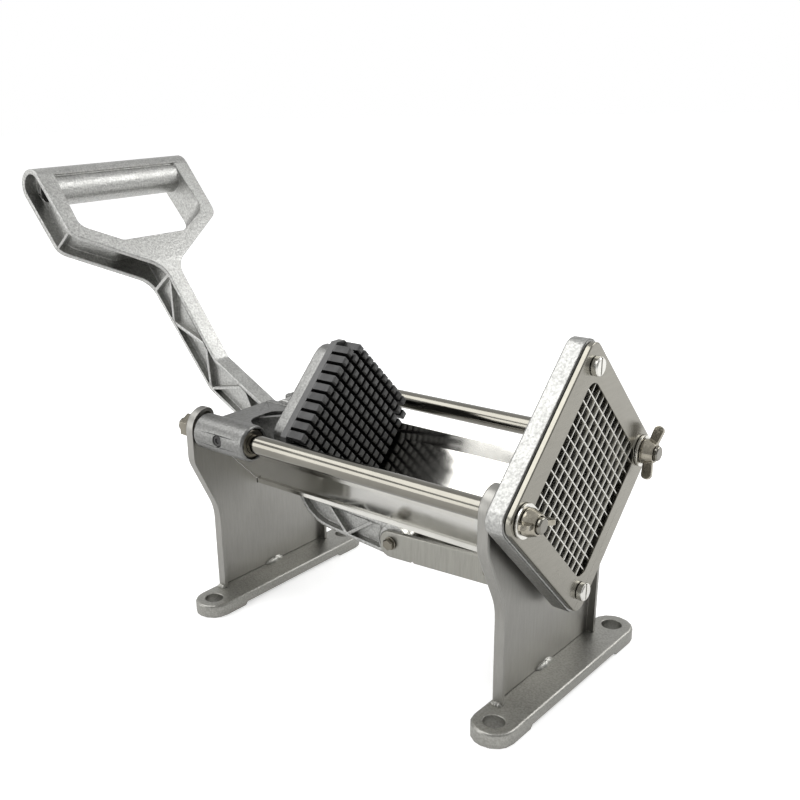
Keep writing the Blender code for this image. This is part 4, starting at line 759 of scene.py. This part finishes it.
def make_floor(stage):
    """A flat floor that the camera sees as near white, with the machine's shadow on it."""
    material, tree, shader, _ = start_finish("floor")
    shader.inputs["Base Color"].default_value = (*stage.floor_colour, 1)
    shader.inputs["Roughness"].default_value = FLOOR_ROUGHNESS
    shader.inputs["Emission Color"].default_value = WHITE
    rays = tree.nodes.new("ShaderNodeLightPath")
    lifted = ranged(tree, rays.outputs["Is Camera Ray"], 0, 1, 0, stage.floor_lift)
    mirrored = ranged(tree, rays.outputs["Is Glossy Ray"], 0, 1, 0, stage.floor_shine)
    tree.links.new(combined(tree, "MAXIMUM", lifted, mirrored), shader.inputs["Emission Strength"])
    solid = bmesh.new()
    bmesh.ops.create_grid(solid, x_segments=1, y_segments=1, size=stage.floor_half)
    mesh = bpy.data.meshes.new("floor")
    solid.to_mesh(mesh)
    solid.free()
    mesh.materials.append(material)
    floor = bpy.data.objects.new("floor", mesh)
    bpy.context.scene.collection.objects.link(floor)


def make_room(stage):
    """A room that the camera sees as white, and that lights the machine more from one side."""
    world = bpy.data.worlds.new("room")
    bpy.context.scene.world = world
    world.use_nodes = True
    tree = world.node_tree
    light = tree.nodes["Background"]
    light.inputs["Color"].default_value = WHITE
    direction = tree.nodes.new("ShaderNodeTexCoord").outputs["Generated"]
    along = tree.nodes.new("ShaderNodeVectorMath")
    along.operation = "DOT_PRODUCT"
    along.inputs[1].default_value = ROOM_BRIGHT_SIDE
    tree.links.new(direction, along.inputs[0])
    ahead = ranged(tree, along.outputs["Value"], *ROOM_FADE, stage.room_dark, stage.room_bright)
    rays = tree.nodes.new("ShaderNodeLightPath")
    camera_sees = tree.nodes.new("ShaderNodeMix")
    camera_sees.data_type = "FLOAT"
    camera_sees.inputs["B"].default_value = 1.0
    tree.links.new(rays.outputs["Is Camera Ray"], camera_sees.inputs["Factor"])
    tree.links.new(ahead, camera_sees.inputs["A"])
    tree.links.new(camera_sees.outputs["Result"], light.inputs["Strength"])


def make_lamp(name, place, target, side, power):
    """A square soft lamp that looks at a target."""
    lamp = bpy.data.lights.new(name, "AREA")
    lamp.shape = "SQUARE"
    lamp.size = side
    lamp.energy = power
    holder = bpy.data.objects.new(name, lamp)
    holder.location = place
    holder.rotation_euler = (Vector(target) - Vector(place)).to_track_quat("-Z", "Y").to_euler()
    bpy.context.scene.collection.objects.link(holder)


def make_camera():
    """The camera at the photograph's place, with its framing."""
    lens = bpy.data.cameras.new("camera")
    lens.lens = CAMERA_LENS
    lens.shift_x, lens.shift_y = CAMERA_SHIFT
    lens.clip_start = CAMERA_NEAREST
    camera = bpy.data.objects.new("camera", lens)
    turn = Matrix((CAMERA_RIGHT, CAMERA_UP, CAMERA_BACK)).transposed()
    camera.matrix_world = Matrix.Translation(CAMERA_PLACE) @ turn.to_4x4()
    bpy.context.scene.collection.objects.link(camera)
    bpy.context.scene.camera = camera


OPERATORS = (CUTTER_OT_castings, CUTTER_OT_sheet_parts, CUTTER_OT_trough, CUTTER_OT_rods, CUTTER_OT_blades,
             CUTTER_OT_pusher, CUTTER_OT_fasteners, CUTTER_OT_welds, CUTTER_OT_blade_fronts,
             CUTTER_OT_hub_rim, CUTTER_OT_handle_ribs, CUTTER_OT_stage)


class CUTTER_PT_looks(bpy.types.Panel):
    """Buttons for each group of pieces and the stage."""

    bl_idname = "CUTTER_PT_looks"
    bl_label = "Potato Cutter"
    bl_space_type = "VIEW_3D"
    bl_region_type = "UI"
    bl_category = "Potato Cutter"

    def draw(self, context):
        for operator in OPERATORS:
            self.layout.operator(operator.bl_idname)
        scene = context.scene
        for group in (scene.cutter_finishes, scene.cutter_details, scene.cutter_stage):
            box = self.layout.box()
            for name in group.__annotations__:
                box.prop(group, name)


PROPERTY_GROUPS = (("cutter_finishes", CutterFinishes), ("cutter_details", CutterDetails),
                   ("cutter_stage", CutterStage))


def register():
    """Add the settings, operators and panel."""
    for name, group in PROPERTY_GROUPS:
        bpy.utils.register_class(group)
        setattr(bpy.types.Scene, name, bpy.props.PointerProperty(type=group))
    for cls in (*OPERATORS, CUTTER_PT_looks):
        bpy.utils.register_class(cls)


def unregister():
    """Take the settings, operators and panel away again."""
    for cls in reversed((*OPERATORS, CUTTER_PT_looks)):
        bpy.utils.unregister_class(cls)
    for name, group in reversed(PROPERTY_GROUPS):
        delattr(bpy.types.Scene, name)
        bpy.utils.unregister_class(group)


def main():
    """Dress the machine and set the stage."""
    register()
    for operator in OPERATORS:
        group, name = operator.bl_idname.split(".")
        getattr(getattr(bpy.ops, group), name)()


if __name__ == "__main__":
    main()
